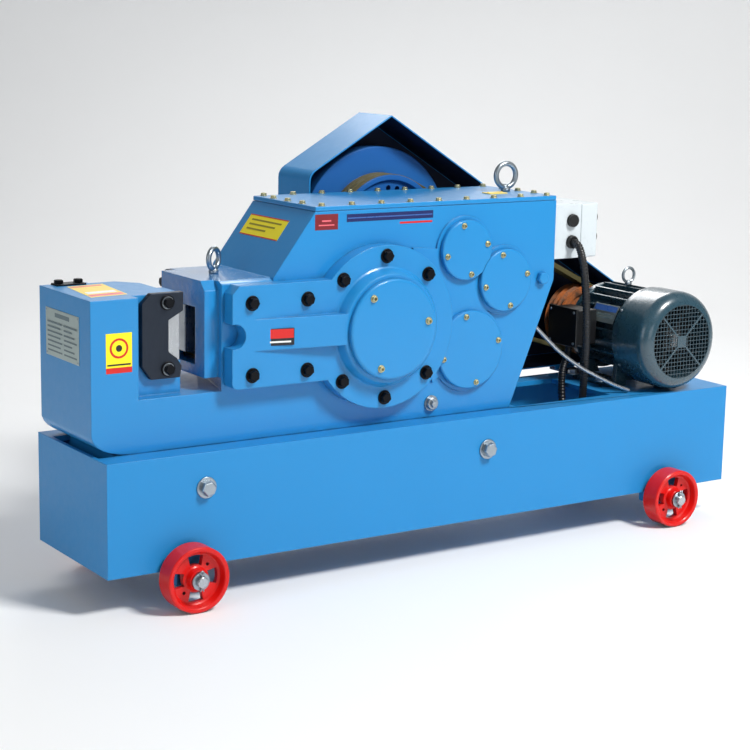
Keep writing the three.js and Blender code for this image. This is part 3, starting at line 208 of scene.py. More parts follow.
def build_skin_group():
    """Height of a cast or sprayed skin: coarse dimples with a fine peel over them."""
    tree, given, result = new_group("cast skin", [
        ("Coarse", "NodeSocketFloat", 0.5),
        ("Fine", "NodeSocketFloat", 0.3),
    ], [("Height", "NodeSocketFloat")])
    coarse = math_node(tree, "MULTIPLY", noise(tree, 0.014, 3.0, 0.6), given.outputs["Coarse"])
    fine = math_node(tree, "MULTIPLY", noise(tree, 0.0022, 2.0), given.outputs["Fine"])
    tree.links.new(math_node(tree, "ADD", coarse, fine), result.inputs["Height"])
    return tree


def build_grain_group():
    """Machining marks: fine lines drawn out along one direction, as height and as a mask."""
    tree, given, result = new_group("machined grain", [
        ("Scale", "NodeSocketVector", (1, 1, 1)),
        ("Depth", "NodeSocketFloat", 0.5),
    ], [("Height", "NodeSocketFloat"), ("Mask", "NodeSocketFloat")])
    place = node(tree, "ShaderNodeTexCoord").outputs["Object"]
    sides = {0: place, 1: given.outputs["Scale"]}
    drawn = node(tree, "ShaderNodeVectorMath", sides, operation="MULTIPLY").outputs[0]
    lines = node(tree, "ShaderNodeTexNoise", {"Vector": drawn, "Scale": 900.0, "Detail": 3.0}).outputs[0]
    tree.links.new(math_node(tree, "MULTIPLY", lines, given.outputs["Depth"]), result.inputs["Height"])
    tree.links.new(steps(tree, lines, 0.3, 0.7), result.inputs["Mask"])
    return tree


def build_shade_and_grime_group():
    """Painted shade in corners and crevices, from ambient occlusion broken into patches; its colour also stands for
    dirt and oily residue.
    """
    tree, given, result = new_group("corner grime", [
        ("Color", "NodeSocketColor", (0.5, 0.5, 0.5, 1)),
        ("Shade and Grime Color", "NodeSocketColor", (0.02, 0.025, 0.03, 1)),
        ("Amount", "NodeSocketFloat", 0.5),
    ], [("Color", "NodeSocketColor")])
    # Ambient occlusion finds the creases and corners where shade falls. This is painted shade, and it also stands
    # for dirt.
    open_sky = node(tree, "ShaderNodeAmbientOcclusion", {"Distance": 0.02}, samples=4).outputs["AO"]
    corner = steps(tree, open_sky, 0.75, 0.2)
    patchy = steps(tree, noise(tree, 0.03, 4.0), 0.3, 0.6)
    mask = math_node(tree, "MULTIPLY", corner, patchy)
    mask = math_node(tree, "MULTIPLY", mask, given.outputs["Amount"], clamp=True)
    shaded_and_dirty = blend_colour(tree, mask, given.outputs["Color"], given.outputs["Shade and Grime Color"])
    tree.links.new(shaded_and_dirty, result.inputs["Color"])
    return tree


TONE = build_tone_group()
EDGES = build_edge_group()
SKIN = build_skin_group()
GRAIN = build_grain_group()
SHADE_AND_GRIME = build_shade_and_grime_group()


# ---------------------------------------------------------------- materials


def rgb(red, green, blue):
    """A screen colour, 0 to 255, as the linear colour a shader takes."""
    linear = [((v / 255 + 0.055) / 1.055) ** 2.4 if v > 10 else v / 255 / 12.92 for v in (red, green, blue)]
    return (*linear, 1.0)


def group_in(tree, group, **values):
    made = tree.nodes.new("ShaderNodeGroup")
    made.node_tree = group
    for key, value in values.items():
        socket = made.inputs[key.replace("_", " ")]
        if hasattr(value, "is_output"):
            tree.links.new(value, socket)
        else:
            socket.default_value = value
    return made


def start_material(name, metallic=0.0, coat=0.0, specular=0.5):
    made = bpy.data.materials.new(name)
    made.use_nodes = True
    tree = made.node_tree
    shader = tree.nodes["Principled BSDF"]
    shader.inputs["Metallic"].default_value = metallic
    shader.inputs["Coat Weight"].default_value = coat
    shader.inputs["Coat Roughness"].default_value = 0.12
    shader.inputs["Specular IOR Level"].default_value = specular
    return made, tree, shader


def bump(tree, shader, height, depth, normal=None):
    made = node(tree, "ShaderNodeBump", {"Height": height, "Distance": depth, "Strength": 1.0})
    if normal is not None:
        tree.links.new(normal, made.inputs["Normal"])
    tree.links.new(made.outputs[0], shader.inputs["Normal"])


def painted(name, colour, roughness=0.3, coarse=0.5, depth=0.0004, wear=0.5, radius=0.0015, chip_and_highlight=None,
            dust=0.06, coat=0.12, drift=0.04, shade_and_grime=0.6, specular=0.32):
    """Enamel over metal: drifting shade, dust, painted shade with dirt in the corners, chipped edges (a painted
    highlight where the edge colour is pale) and a sprayed skin.
    """
    made, tree, shader = start_material(name, coat=coat, specular=specular)
    tone = group_in(tree, TONE, Color=colour, Drift=drift, Dust=dust)
    # Corner darkening from ambient occlusion: painted shade as well as dirt.
    shaded_and_dirty = group_in(tree, SHADE_AND_GRIME, Color=tone.outputs["Color"], Amount=shade_and_grime)
    edges = group_in(tree, EDGES, Radius=radius, Wear=wear)
    edge_chip_and_highlight = chip_and_highlight or rgb(120, 122, 126)
    # The edge mask mixes in the edge colour: chipped bare metal on most paints, and a painted highlight where that
    # colour is pale, as on the rough cast.
    colour_out = blend_colour(tree, edges.outputs["Mask"], shaded_and_dirty.outputs["Color"], edge_chip_and_highlight)
    tree.links.new(colour_out, shader.inputs["Base Color"])
    rough = math_node(tree, "ADD", tone.outputs["Roughness"], roughness)
    rough = math_node(tree, "ADD", rough, math_node(tree, "MULTIPLY", edges.outputs["Mask"], 0.2), clamp=True)
    tree.links.new(rough, shader.inputs["Roughness"])
    skin = group_in(tree, SKIN, Coarse=coarse, Fine=0.25)
    bump(tree, shader, skin.outputs["Height"], depth, edges.outputs["Normal"])
    return made


def metal(name, colour, roughness=0.3, grain=(1, 0.04, 0.04), depth=0.00012, oil_and_shade=0.4, oil_and_shade_colour=None,
          wear=0.5, bright=None, drift=0.12):
    """Bare metal: machining lines, painted shade with oily dirt in the corners, and brighter edges."""
    made, tree, shader = start_material(name, metallic=1.0)
    tone = group_in(tree, TONE, Color=colour, Drift=drift, Dust=0.05)
    # Corner darkening from ambient occlusion: painted shade as well as oily dirt.
    shaded_and_dirty = group_in(tree, SHADE_AND_GRIME, Color=tone.outputs["Color"], Amount=oil_and_shade)
    if oil_and_shade_colour:
        shaded_and_dirty.inputs["Shade and Grime Color"].default_value = oil_and_shade_colour
    edges = group_in(tree, EDGES, Radius=0.0008, Wear=wear)
    shine = bright or rgb(210, 212, 214)
    worn = blend_colour(tree, edges.outputs["Mask"], shaded_and_dirty.outputs["Color"], shine)
    tree.links.new(worn, shader.inputs["Base Color"])
    lines = group_in(tree, GRAIN, Scale=grain, Depth=1.0)
    rough = math_node(tree, "ADD", tone.outputs["Roughness"], roughness)
    rough = math_node(tree, "ADD", rough, math_node(tree, "MULTIPLY", lines.outputs["Mask"], 0.12), clamp=True)
    tree.links.new(rough, shader.inputs["Roughness"])
    bump(tree, shader, lines.outputs["Height"], depth, edges.outputs["Normal"])
    return made


def moulded(name, colour, roughness=0.4, specular=0.5, dust=0.15, depth=0.0001, sheen=0.0, drift=0.2):
    """Plastic or rubber: a fine moulded texture, with dust on its upper side."""
    made, tree, shader = start_material(name, specular=specular)
    shader.inputs["Sheen Weight"].default_value = sheen
    tone = group_in(tree, TONE, Color=colour, Drift=drift, Dust=dust)
    tree.links.new(tone.outputs["Color"], shader.inputs["Base Color"])
    rough = math_node(tree, "ADD", tone.outputs["Roughness"], roughness, clamp=True)
    tree.links.new(rough, shader.inputs["Roughness"])
    skin = group_in(tree, SKIN, Coarse=0.2, Fine=0.8)
    bump(tree, shader, skin.outputs["Height"], depth)
    return made


def rusted(name):
    """Bare iron with rust that has spread over it in patches."""
    made, tree, shader = start_material(name, specular=0.3)
    spread = steps(tree, noise(tree, 0.02, 6.0, 0.7), 0.36, 0.62)
    spots = noise(tree, 0.003, 4.0, 0.7)
    rust = blend_colour(tree, spots, rgb(130, 62, 26), rgb(203, 120, 60))
    tree.links.new(blend_colour(tree, spread, rgb(112, 84, 66), rust), shader.inputs["Base Color"])
    rough = math_node(tree, "ADD", 0.45, math_node(tree, "MULTIPLY", spread, 0.4))
    tree.links.new(rough, shader.inputs["Roughness"])
    tree.links.new(math_node(tree, "SUBTRACT", 0.7, spread, clamp=True), shader.inputs["Metallic"])
    bump(tree, shader, spots, 0.0006)
    return made


BLUE = rgb(32, 134, 198)
# Dark navy for the guard's inner faces: painted shade inside the guard.
GUARD_SHADE_NAVY = rgb(12, 26, 56)
PAINT = {
    "casting_blue": painted("cast blue enamel", BLUE, 0.36, 0.5, 0.00028, wear=0.15, radius=0.003, drift=0.03,
                            coat=0.3),
    "wheel_red": painted("red wheel enamel", rgb(214, 18, 14), 0.34, 0.5, 0.0004, wear=0.45, chip_and_highlight=rgb(90, 40, 36),
                         shade_and_grime=0.9),
    "bright_steel": metal("ground steel", rgb(186, 190, 194), 0.26),
    "dark_steel": metal("blackened steel", rgb(56, 62, 72), 0.42, depth=0.0002, wear=0.6,
                        bright=rgb(150, 156, 164)),
    "gear_steel": metal("oiled gear steel", rgb(128, 128, 128), 0.3, oil_and_shade=0.8, oil_and_shade_colour=rgb(50, 34, 16)),
    "bronze": metal("bearing bronze", rgb(182, 134, 74), 0.32),
    "zinc": metal("zinc plate", rgb(164, 174, 182), 0.28, grain=(1, 1, 1), wear=0.3),
    "motor_enamel": painted("motor enamel", rgb(36, 68, 82), 0.28, 0.3, 0.00015, wear=0.2, dust=0.03, coat=0.6,
                            specular=0.6),
    "rusty_iron": rusted("rusty iron"),
    "belt_rubber": moulded("belt rubber", rgb(98, 92, 58), 0.75, 0.3, 0.25, 0.0002),
    "black_plastic": moulded("black plastic", rgb(20, 21, 23), 0.36),
    "white_enamel": painted("white enamel", rgb(204, 213, 218), 0.3, 0.3, 0.0002, wear=0.1, dust=0.04, drift=0.02,
                            shade_and_grime=0.8),
    "green_button": moulded("green plastic", rgb(24, 120, 60), 0.28),
    "red_button": moulded("red plastic", rgb(190, 28, 24), 0.28),
}
FRAME_BLUE = painted("base blue enamel", BLUE, 0.42, 0.2, 0.00015, wear=0.2, drift=0.03, dust=0.06)
SHEET_BLUE = painted("sheet blue enamel", BLUE, 0.36, 0.15, 0.0001, wear=0.2, drift=0.03)
# The pale blue along the throat's edges is a painted highlight, not chipped paint.
ROUGH_CAST = painted("rough cast enamel", rgb(30, 124, 192), 0.12, 1.0, 0.0016, wear=0.5, radius=0.004,
                     coat=0.9, dust=0, chip_and_highlight=rgb(190, 220, 240), drift=0.2, specular=0.6)
# Painted shade for the inside of the belt guard.
GUARD_PAINTED_SHADE = painted("guard inside painted shade", GUARD_SHADE_NAVY, 0.6, 0.2, 0.0002, wear=0.1, coat=0.0)
YELLOW_ZINC = metal("yellow zinc", rgb(196, 190, 150), 0.34, grain=(1, 1, 1), wear=0.2, bright=rgb(230, 226, 196))
BLACK_OXIDE = metal("black oxide bolts", rgb(34, 35, 38), 0.36, grain=(1, 1, 1), wear=0.35,
                    bright=rgb(110, 112, 118))
# A darker blue than the machine's own: painted shade for the flywheel inside the guard.
FLYWHEEL_SHADED_BLUE = painted("flywheel enamel with painted shade", rgb(30, 96, 168), 0.4, 0.4, 0.0003, wear=0.3)
PLATE_SILVER = metal("nameplate aluminium", rgb(186, 200, 198), 0.38)
STICKER = {
    "yellow": moulded("yellow vinyl", rgb(250, 232, 20), 0.35, dust=0.05, drift=0.04),
    "pale": moulded("straw vinyl", rgb(238, 210, 96), 0.45, dust=0.1, drift=0.06),
    "red": moulded("red vinyl", rgb(208, 26, 22), 0.35, dust=0.05, drift=0.05),
    "pink": moulded("pink vinyl", rgb(228, 104, 116), 0.4, dust=0.05, drift=0.05),
    "black": moulded("black vinyl", rgb(22, 26, 34), 0.35, dust=0.05, drift=0.05),
    "white": moulded("white vinyl", rgb(236, 240, 240), 0.35, dust=0.05, drift=0.03),
    "grey": moulded("grey print", rgb(96, 116, 122), 0.4, dust=0.05, drift=0.05),
    "olive": moulded("olive print", rgb(150, 138, 20), 0.4, dust=0.05, drift=0.05),
    "teal": moulded("teal print", rgb(40, 160, 160), 0.4, dust=0.05, drift=0.05),
    "navy": moulded("navy print", rgb(20, 34, 92), 0.35, dust=0.03, drift=0.05),
    "maroon": moulded("maroon vinyl", rgb(120, 26, 36), 0.4, dust=0.03, drift=0.05),
    "blue": moulded("label blue", rgb(60, 100, 170), 0.3, dust=0.03, drift=0.2),
}


# ---------------------------------------------------------------- mesh building


class Form:
    """Vertices and faces of one piece, in millimetres; each face may name its material."""

    def __init__(self):
        self.places = []
        self.faces = []
        self.paint = []

    def add(self, places, faces, paint=0):
        first = len(self.places)
        self.places.extend(Vector(place) for place in places)
        self.faces.extend([first + i for i in face] for face in faces)
        self.paint.extend([paint] * len(faces))
        return self

    def loops(self, rings, closed=False, caps=True, paint=0):
        """Skin over rings of places that all have the same count."""
        count = len(rings[0])
        places = [place for ring in rings for place in ring]
        faces = []
        bands = len(rings) if closed else len(rings) - 1
        for band in range(bands):
            here, there = band * count, (band + 1) % len(rings) * count
            for i in range(count):
                j = (i + 1) % count
                faces.append([here + i, here + j, there + j, there + i])
        if caps and not closed:
            faces.append(list(range(count))[::-1])
            faces.append([(len(rings) - 1) * count + i for i in range(count)])
        return self.add(places, faces, paint)

    def turn(self, centre, way, profile, sides=48, closed=False, paint=0):
        """Spin a profile of (radius, height) pairs about the axis through centre."""
        side, up, out = axes_for(way)
        rings = []
        for radius, height in profile:
            middle_of_ring = Vector(centre) + out * height
            rings.append([middle_of_ring + (side * math.cos(a) + up * math.sin(a)) * radius
                          for a in (2 * math.pi * k / sides for k in range(sides))])
        return self.loops(rings, closed, not closed, paint)

    def slab(self, outline, low, high, plane="XZ", paint=0):
        """An outline carried from low to high across its plane."""
        order = {"XZ": lambda u, v, w: (u, w, v), "XY": lambda u, v, w: (u, v, w), "YZ": lambda u, v, w: (w, u, v)}
        put = order[plane]
        return self.loops([[put(u, v, w) for u, v in outline] for w in (low, high)], paint=paint)

    def sweep(self, path, radius, sides=12, closed=False, paint=0):
        """A round bar along a path; radius may be a function of the index."""
        size = radius if callable(radius) else (lambda index: radius)
        rings = []
        side = None
        count = len(path)
        for index, place in enumerate(path):
            before = path[index - 1] if closed or index else path[0]
            after = path[(index + 1) % count] if closed or index < count - 1 else path[index]
            along = (Vector(after) - Vector(before)).normalized()
            side = along.orthogonal() if side is None else side - along * side.dot(along)
            side = side.normalized()
            up = along.cross(side)
            rings.append([Vector(place) + (side * math.cos(a) + up * math.sin(a)) * size(index)
                          for a in (2 * math.pi * k / sides for k in range(sides))])
        return self.loops(rings, closed, not closed, paint)

    def box(self, x0, x1, y0, y1, z0, z1, paint=0):
        return self.slab([(x0, z0), (x1, z0), (x1, z1), (x0, z1)], y0, y1, paint=paint)


def axes_for(way):
    """Two directions across a way, and the way itself."""
    out = Vector(way).normalized()
    side = Vector((0, 0, 1)).cross(out)
    side = side.normalized() if side.length > 0.1 else Vector((1, 0, 0))
    return side, out.cross(side), out


def arc(centre, radius, start, end, count):
    """Points on an arc, in degrees."""
    angles = [math.radians(start + (end - start) * k / count) for k in range(count + 1)]
    return [(centre[0] + radius * math.cos(a), centre[1] + radius * math.sin(a)) for a in angles]


def rounded_box(x0, x1, z0, z1, radius, count=5):
    left, right, low, high = x0 + radius, x1 - radius, z0 + radius, z1 - radius
    corners = (((right, low), -90), ((right, high), 0), ((left, high), 90), ((left, low), 180))
    return [place for centre, start in corners for place in arc(centre, radius, start, start + 90, count)]


def smooth_path(points, per_span):
    """Catmull-Rom points through a list of given ones."""
    known = [Vector(p) for p in points]
    known = [known[0] * 2 - known[1], *known, known[-1] * 2 - known[-2]]
    path = []
    for i in range(1, len(known) - 2):
        a, b, c, d = known[i - 1:i + 3]
        for k in range(per_span):
            t = k / per_span
            path.append(0.5 * ((2 * b) + (c - a) * t + (2 * a - 5 * b + 4 * c - d) * t * t
                               + (3 * b - a - 3 * c + d) * t ** 3))
    path.append(known[-2])
    return path


def bevel_edges(work, width, segments, only=None, angle=28):
    """Round every edge sharper than the angle, or only those whose middle passes the test."""
    if width <= 0:
        return
    limit = math.radians(angle)
    sharp = [e for e in work.edges if len(e.link_faces) == 2 and e.calc_face_angle(0) > limit]
    if only:
        sharp = [e for e in sharp if only(((e.verts[0].co + e.verts[1].co) / 2 - CORNER) / MM)]
    bmesh.ops.bevel(work, geom=sharp, offset=width * MM, segments=segments, profile=0.5, affect="EDGES",
                    clamp_overlap=True)


def finish_mesh(work, name, soft_angle):
    mesh = bpy.data.meshes.new(name)
    bmesh.ops.recalc_face_normals(work, faces=work.faces)
    work.to_mesh(mesh)
    work.free()
    mesh.polygons.foreach_set("use_smooth", [True] * len(mesh.polygons))
    mesh.set_sharp_from_angle(angle=math.radians(soft_angle))
    return mesh


def settle(mesh, name, finishes, body, stands_for=()):
    """Put a mesh into the scene as a piece that rides on a body."""
    piece = bpy.data.objects.new(name, mesh)
    bpy.context.scene.collection.objects.link(piece)
    for finish in finishes:
        mesh.materials.append(finish)
    weighted = piece.modifiers.new("weighted", "WEIGHTED_NORMAL")
    weighted.keep_sharp = True
    seen = piece.evaluated_get(bpy.context.evaluated_depsgraph_get())
    piece.data = bpy.data.meshes.new_from_object(seen)
    piece.modifiers.clear()
    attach(piece, body)
    if stands_for:
        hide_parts(*stands_for)
    return piece


def make(form, name, finishes, body="frame", stands_for=(), bevel=0.0, segments=2, soft_angle=35,
         trim=()):
    """A piece from a form. trim holds forms cut out of it."""
    def mesh_of(shape):
        work = bmesh.new()
        points = [work.verts.new(at(*place)) for place in shape.places]
        for face, paint in zip(shape.faces, shape.paint):
            work.faces.new([points[i] for i in face]).material_index = paint
        bmesh.ops.recalc_face_normals(work, faces=work.faces)
        return work
    work = mesh_of(form)
    if trim:
        work = cut_out(work, [mesh_of(shape) for shape in trim])
    bevel_edges(work, bevel, segments)
    finishes = finishes if isinstance(finishes, (list, tuple)) else [finishes]
    return settle(finish_mesh(work, name, soft_angle), name, finishes, body, stands_for)


def cut_out(work, cutters):
    """The work with the cutters' solids taken out of it."""
    def hold(shape):
        mesh = bpy.data.meshes.new("blank")
        shape.to_mesh(mesh)
        shape.free()
        held = bpy.data.objects.new("blank", mesh)
        bpy.context.scene.collection.objects.link(held)
        return held
    blank = hold(work)
    tools = [hold(cutter) for cutter in cutters]
    for tool in tools:
        modifier = blank.modifiers.new("cut", "BOOLEAN")
        modifier.operation = "DIFFERENCE"
        modifier.solver = "EXACT"
        modifier.object = tool
    bpy.context.view_layer.update()
    seen = blank.evaluated_get(bpy.context.evaluated_depsgraph_get())
    result = bmesh.new()
    result.from_mesh(seen.to_mesh())
    for held in (blank, *tools):
        bpy.data.objects.remove(held)
    return result


def refine(node_name, bevel, segments=2, finish=None, area=None, soft_angle=35, only=None):
    """A CAD node's own shape with its edges rounded and its round faces smooth.

    area is a second finish and the test, of a face's middle and normal, for where it goes.
    """
    work = bmesh.new()
    work.from_mesh(frame["nodes"][node_name].data)
    bmesh.ops.remove_doubles(work, verts=work.verts, dist=2e-5)
    bmesh.ops.dissolve_limit(work, angle_limit=math.radians(1), verts=work.verts, edges=work.edges)
    if area:
        for face in work.faces:
            place = (face.calc_center_median() - CORNER) / MM
            face.material_index = int(area[1](place, face.normal))
    bevel_edges(work, bevel, segments, only)
    slot = SLOT[node_name]
    finishes = [finish or PAINT[slot]] + ([area[0]] if area else [])
    mesh = finish_mesh(work, node_name + "_surface", soft_angle)
    return settle(mesh, node_name + "_surface", finishes, BODY[node_name], [node_name])


# ---------------------------------------------------------------- fasteners


def hexagon(form, centre, way, across, height, washer=0.0, washer_height=2.5, paint=0, turn=0.0):
    """A hexagon head with a chamfered crown, on a washer where one is asked for."""
    side, up, out = axes_for(way)
    seat = Vector(centre)
    if washer:
        rounded = [(washer - 1, 0), (washer, 0.6), (washer, washer_height - 0.6), (washer - 1, washer_height)]
        form.turn(seat, out, rounded, 28, paint=paint)
        seat = seat + out * washer_height
    corner = across / math.sqrt(3)
    rings = []
    for radius, level in ((corner, 0), (corner, height * 0.8), (corner * 0.86, height), (corner * 0.6, height)):
        rings.append([seat + out * level + (side * math.cos(a) + up * math.sin(a)) * radius
                      for a in (math.radians(turn + 60 * k) for k in range(6))])
    form.loops(rings, paint=paint)
    return form


def cap_screw(form, centre, way, radius, height, paint=0, washer=True):
    """A round socket head on a thin washer."""
    seat = Vector(centre)
    out = Vector(way)
    if washer:
        form.turn(seat, out, [(radius + 1.6, 0), (radius + 1.6, 1.0), (radius, 1.0)], 20, paint=paint)
    form.turn(seat, out, [(radius, 0), (radius, height - 0.8), (radius - 0.8, height), (radius * 0.52, height),
                          (radius * 0.46, height * 0.45)], 20, paint=paint)
    return form


def round_place(centre, radius, degrees, y):
    a = math.radians(degrees)
    return (centre.x + radius * math.cos(a), y, centre.z + radius * math.sin(a))


# ---------------------------------------------------------------- base and wheels

AXLE_PLACES = [middle(name) for name in ("axle_left", "axle_right")]
WHEEL_RADIUS = 59


def outer_only(low, high, wall):
    """True for the edges of a shell that lie on its outside, given the shell's own box."""
    inner_low = low + Vector((wall, wall, wall))
    inner_high = high - Vector((wall, wall, wall))
    return lambda place: not all(inner_low[i] <= place[i] <= inner_high[i] for i in range(3))


refine("base_frame", 2.2, 3, FRAME_BLUE)

bolts = Form()
for x, z in ((187, -62), (791, -63.5)):
    hexagon(bolts, (x, 0, z), FRONT_WAY, 24, 12, washer=19, washer_height=3, turn=11)
    hexagon(bolts, (x, BASE_WIDTH, z), -FRONT_WAY, 24, 12, washer=19, washer_height=3, turn=40)
make(bolts, "base_bolts", PAINT["zinc"], bevel=0.4)


def wheel_surface(name):
    low, high = span(name)
    centre = Vector(((low.x + high.x) / 2, 0, (low.z + high.z) / 2))
    front, rear = low.y, high.y
    web = ((front + rear) / 2 - 5, (front + rear) / 2 + 5)
    rim = WHEEL_RADIUS - 0.4
    profile = [
        (10.4, front), (17, front), (18, front + 1), (19.5, web[0] - 2), (22, web[0]),
        (rim - 15, web[0]), (rim - 12, web[0] - 2), (rim - 9, front + 2), (rim - 7.5, front + 0.6),
        (rim - 2, front), (rim, front + 2), (rim, rear - 2), (rim - 2, rear), (rim - 7.5, rear - 0.6),
        (rim - 9, rear - 2), (rim - 12, web[1] + 2), (rim - 15, web[1]), (22, web[1]), (19.5, web[1] + 2),
        (18, rear - 1), (17, rear), (10.4, rear),
    ]
    body = Form().turn(centre, -FRONT_WAY, profile, 72, closed=True)
    holes = []
    for quarter in range(4):
        mid = 90 * quarter
        window = (arc((centre.x, centre.z), 42, mid - 20, mid + 20, 6)
                  + arc((centre.x, centre.z), 24.5, mid + 26, mid - 26, 6))
        holes.append(Form().slab(window, web[0] - 6, web[1] + 6))
    for angle in (45, 225):
        spot = (centre.x + 32 * math.cos(math.radians(angle)), centre.z + 32 * math.sin(math.radians(angle)))
        holes.append(Form().slab(arc(spot, 3, 0, 345, 11), web[0] - 6, web[1] + 6))
    make(body, name + "_rim", PAINT["wheel_red"], BODY[name], [name], bevel=0.8, trim=holes)


for name in ("wheel_front_left", "wheel_front_right", "wheel_rear_left", "wheel_rear_right"):
    wheel_surface(name)

for name, place in zip(("axle_left", "axle_right"), AXLE_PLACES):
    low, high = span(name)
    axle = Form().turn((place.x, 0, place.z), -FRONT_WAY,
                       [(8.6, low.y), (10, low.y + 1.4), (10, high.y - 1.4), (8.6, high.y)], 32)
    make(axle, name + "_bar", PAINT["bright_steel"], "frame", [name])
    pins = Form()
    for end, way in ((low.y, 1), (high.y, -1)):
        pin = end + 5.5 * way
        pins.sweep([(place.x, pin, place.z + 13.6), (place.x, pin, place.z - 12)], 1.5, 8)
        pins.sweep([(place.x + 1, pin, place.z - 12), (place.x + 2.5, pin - way, place.z - 16.5)], 1.3, 8)
        pins.sweep([(place.x - 1, pin, place.z - 12), (place.x - 3, pin + way, place.z - 17)], 1.3, 8)
        eye = [(place.x + 3.2 * math.sin(a), pin, place.z + 15.8 - 3.2 * math.cos(a))
               for a in (2 * math.pi * k / 14 for k in range(14))]
        pins.sweep(eye, 1.3, 8, closed=True)
    make(pins, name + "_split_pins", PAINT["zinc"])
    washers = Form()
    for inner, outer in ((low.y + 8.4, low.y + 11.6), (high.y - 11.6, high.y - 8.4)):
        profile = [
            (10.2, inner), (15.6, inner), (16.2, inner + 0.6), (16.2, outer - 0.6), (15.6, outer), (10.2, outer)]
        washers.turn((place.x, 0, place.z), -FRONT_WAY, profile, 36, closed=True)
    make(washers, name + "_washers", PAINT["zinc"])


# ---------------------------------------------------------------- casting, lid and covers

THROAT_LOW, THROAT_HIGH = Vector((170, 62, 90)), Vector((352, 262, 290))


def in_throat(place, normal):
    return all(THROAT_LOW[i] < place[i] < THROAT_HIGH[i] for i in range(3)) and normal.y > -0.5


refine("machine_body", 3.2, 3, area=(ROUGH_CAST, in_throat), soft_angle=40)
refine("gear_case_lid", 1.6, 2)
refine("crank_cover", 2.6, 3, soft_angle=40)
refine("rear_bearing_plate", 1.4, 2)
for name in ("bearing_cap_input", "bearing_cap_second", "bearing_cap_third"):
    refine(name, 0.9, 2)

end_cap = Form().turn((CRANK.x, 0, CRANK.z), -FRONT_WAY, [
    (0.5, crank_cap_low.y), (86, crank_cap_low.y), (89.5, crank_cap_low.y + 0.6), (91.5, crank_cap_low.y + 2.4),
    (92, crank_cap_low.y + 4), (92, crank_cap_high.y), (0.5, crank_cap_high.y)], 96)
make(end_cap, "crank_end_cap_disc", PAINT["casting_blue"], "frame", ["crank_end_cap"])

case_screws = Form()
LONG_SIDE_SCREWS = 9
for k in range(LONG_SIDE_SCREWS):
    x = lid_low.x + 18 + (lid_high.x - lid_low.x - 36) * k / (LONG_SIDE_SCREWS - 1)
    cap_screw(case_screws, (x, lid_low.y + 8.5, LID_TOP), UP, 5.4, 5.5)
    cap_screw(case_screws, (x, lid_high.y - 8.5, LID_TOP), UP, 5.4, 5.5)
for k in range(1, 4):
    y = lid_low.y + 8.5 + (lid_high.y - lid_low.y - 17) * k / 4
    cap_screw(case_screws, (lid_low.x + 9, y, LID_TOP), UP, 5.4, 5.5)
    cap_screw(case_screws, (lid_high.x - 9, y, LID_TOP), UP, 5.4, 5.5)
make(case_screws, "lid_screws", YELLOW_ZINC)

CAPS = [("bearing_cap_input", 57), ("bearing_cap_second", 60), ("bearing_cap_third", 75)]
SHAFTS = {"bearing_cap_input": "bearing_input_front", "bearing_cap_second": "bearing_second_front",
          "bearing_cap_third": "bearing_third_front"}
cap_screws = Form()
for name, radius in CAPS:
    centre = middle(SHAFTS[name])
    face = span(name)[0].y
    for angle in (12, 102, 192, 282):
        place = Vector(round_place(centre, radius - 10, angle, face))
        if (place - Vector((CRANK.x, face, CRANK.z))).length > 158:
            cap_screw(cap_screws, place, FRONT_WAY, 4.2, 4.6)
for angle in (0, 120, 240):
    cap_screw(cap_screws, round_place(CRANK, 75, angle + 8, crank_cap_low.y), FRONT_WAY, 5.4, 5.6)
make(cap_screws, "cap_screws", YELLOW_ZINC)

cover_bolts = Form()
spots = [(286, 249), (398, 249), (287, 122), (398, 122)]
spots += [round_place(CRANK, 130, angle, 0)[::2] for angle in (45, 90, 135, 225, 270, 315)]
for number, (x, z) in enumerate(spots):
    hexagon(cover_bolts, (x, cover_low.y + 20, z), FRONT_WAY, 18, 9, washer=13.5, washer_height=2.2,
            turn=13 * number)
make(cover_bolts, "cover_bolts", BLACK_OXIDE, bevel=0.4)

painted_bolts = Form()
hexagon(painted_bolts, (945, CAST_FRONT, 249), FRONT_WAY, 22, 11, turn=8)
make(painted_bolts, "case_plug", PAINT["casting_blue"], bevel=0.6)

DRAIN_X, DRAIN_Z = 690, 27
drain = Form().turn((DRAIN_X, CAST_FRONT, DRAIN_Z), FRONT_WAY, [
    (1, 0), (15, 0), (15, 2.4), (12, 2.4), (12, 8), (10.6, 9.2), (1, 9.2)], 36)
hexagon(drain, (DRAIN_X, CAST_FRONT - 9, DRAIN_Z), FRONT_WAY, 12, 5)
make(drain, "drain_plug", PAINT["zinc"])

filler = Form()
filler.slab(rounded_box(868, 912, 118, 146, 3), LID_TOP, LID_TOP + 1.6, "XY")
for dx in (874, 906):
    cap_screw(filler, (dx, 132, LID_TOP + 1.6), UP, 2.2, 1.6, washer=False)
make(filler, "lid_blank_plate", STICKER["pale"], bevel=0.3)


# ---------------------------------------------------------------- jaw, blades and ram

refine("fixed_blade", 1.2, 2)
refine("moving_blade", 1.2, 2)
refine("jaw_plate", 1.6, 2)
refine("guide_plate", 1.6, 2)
refine("ram", 1.2, 2)
refine("ram_liner", 0.8, 2)

plate_face = span("jaw_plate")[0].y
jaw_bolts = Form()
for x, z in ((145, 254), (146, 138.6)):
    hexagon(jaw_bolts, (x, plate_face, z), FRONT_WAY, 17, 10, washer=13.5, washer_height=2, turn=14)
    jaw_bolts.turn((x, plate_face - 2, z), FRONT_WAY, [(9, 0), (11, 0), (11, 1.6), (9, 1.6)], 24, closed=True,
                   paint=1)
make(jaw_bolts, "jaw_plate_bolts", [BLACK_OXIDE, PAINT["zinc"]], bevel=0.3)

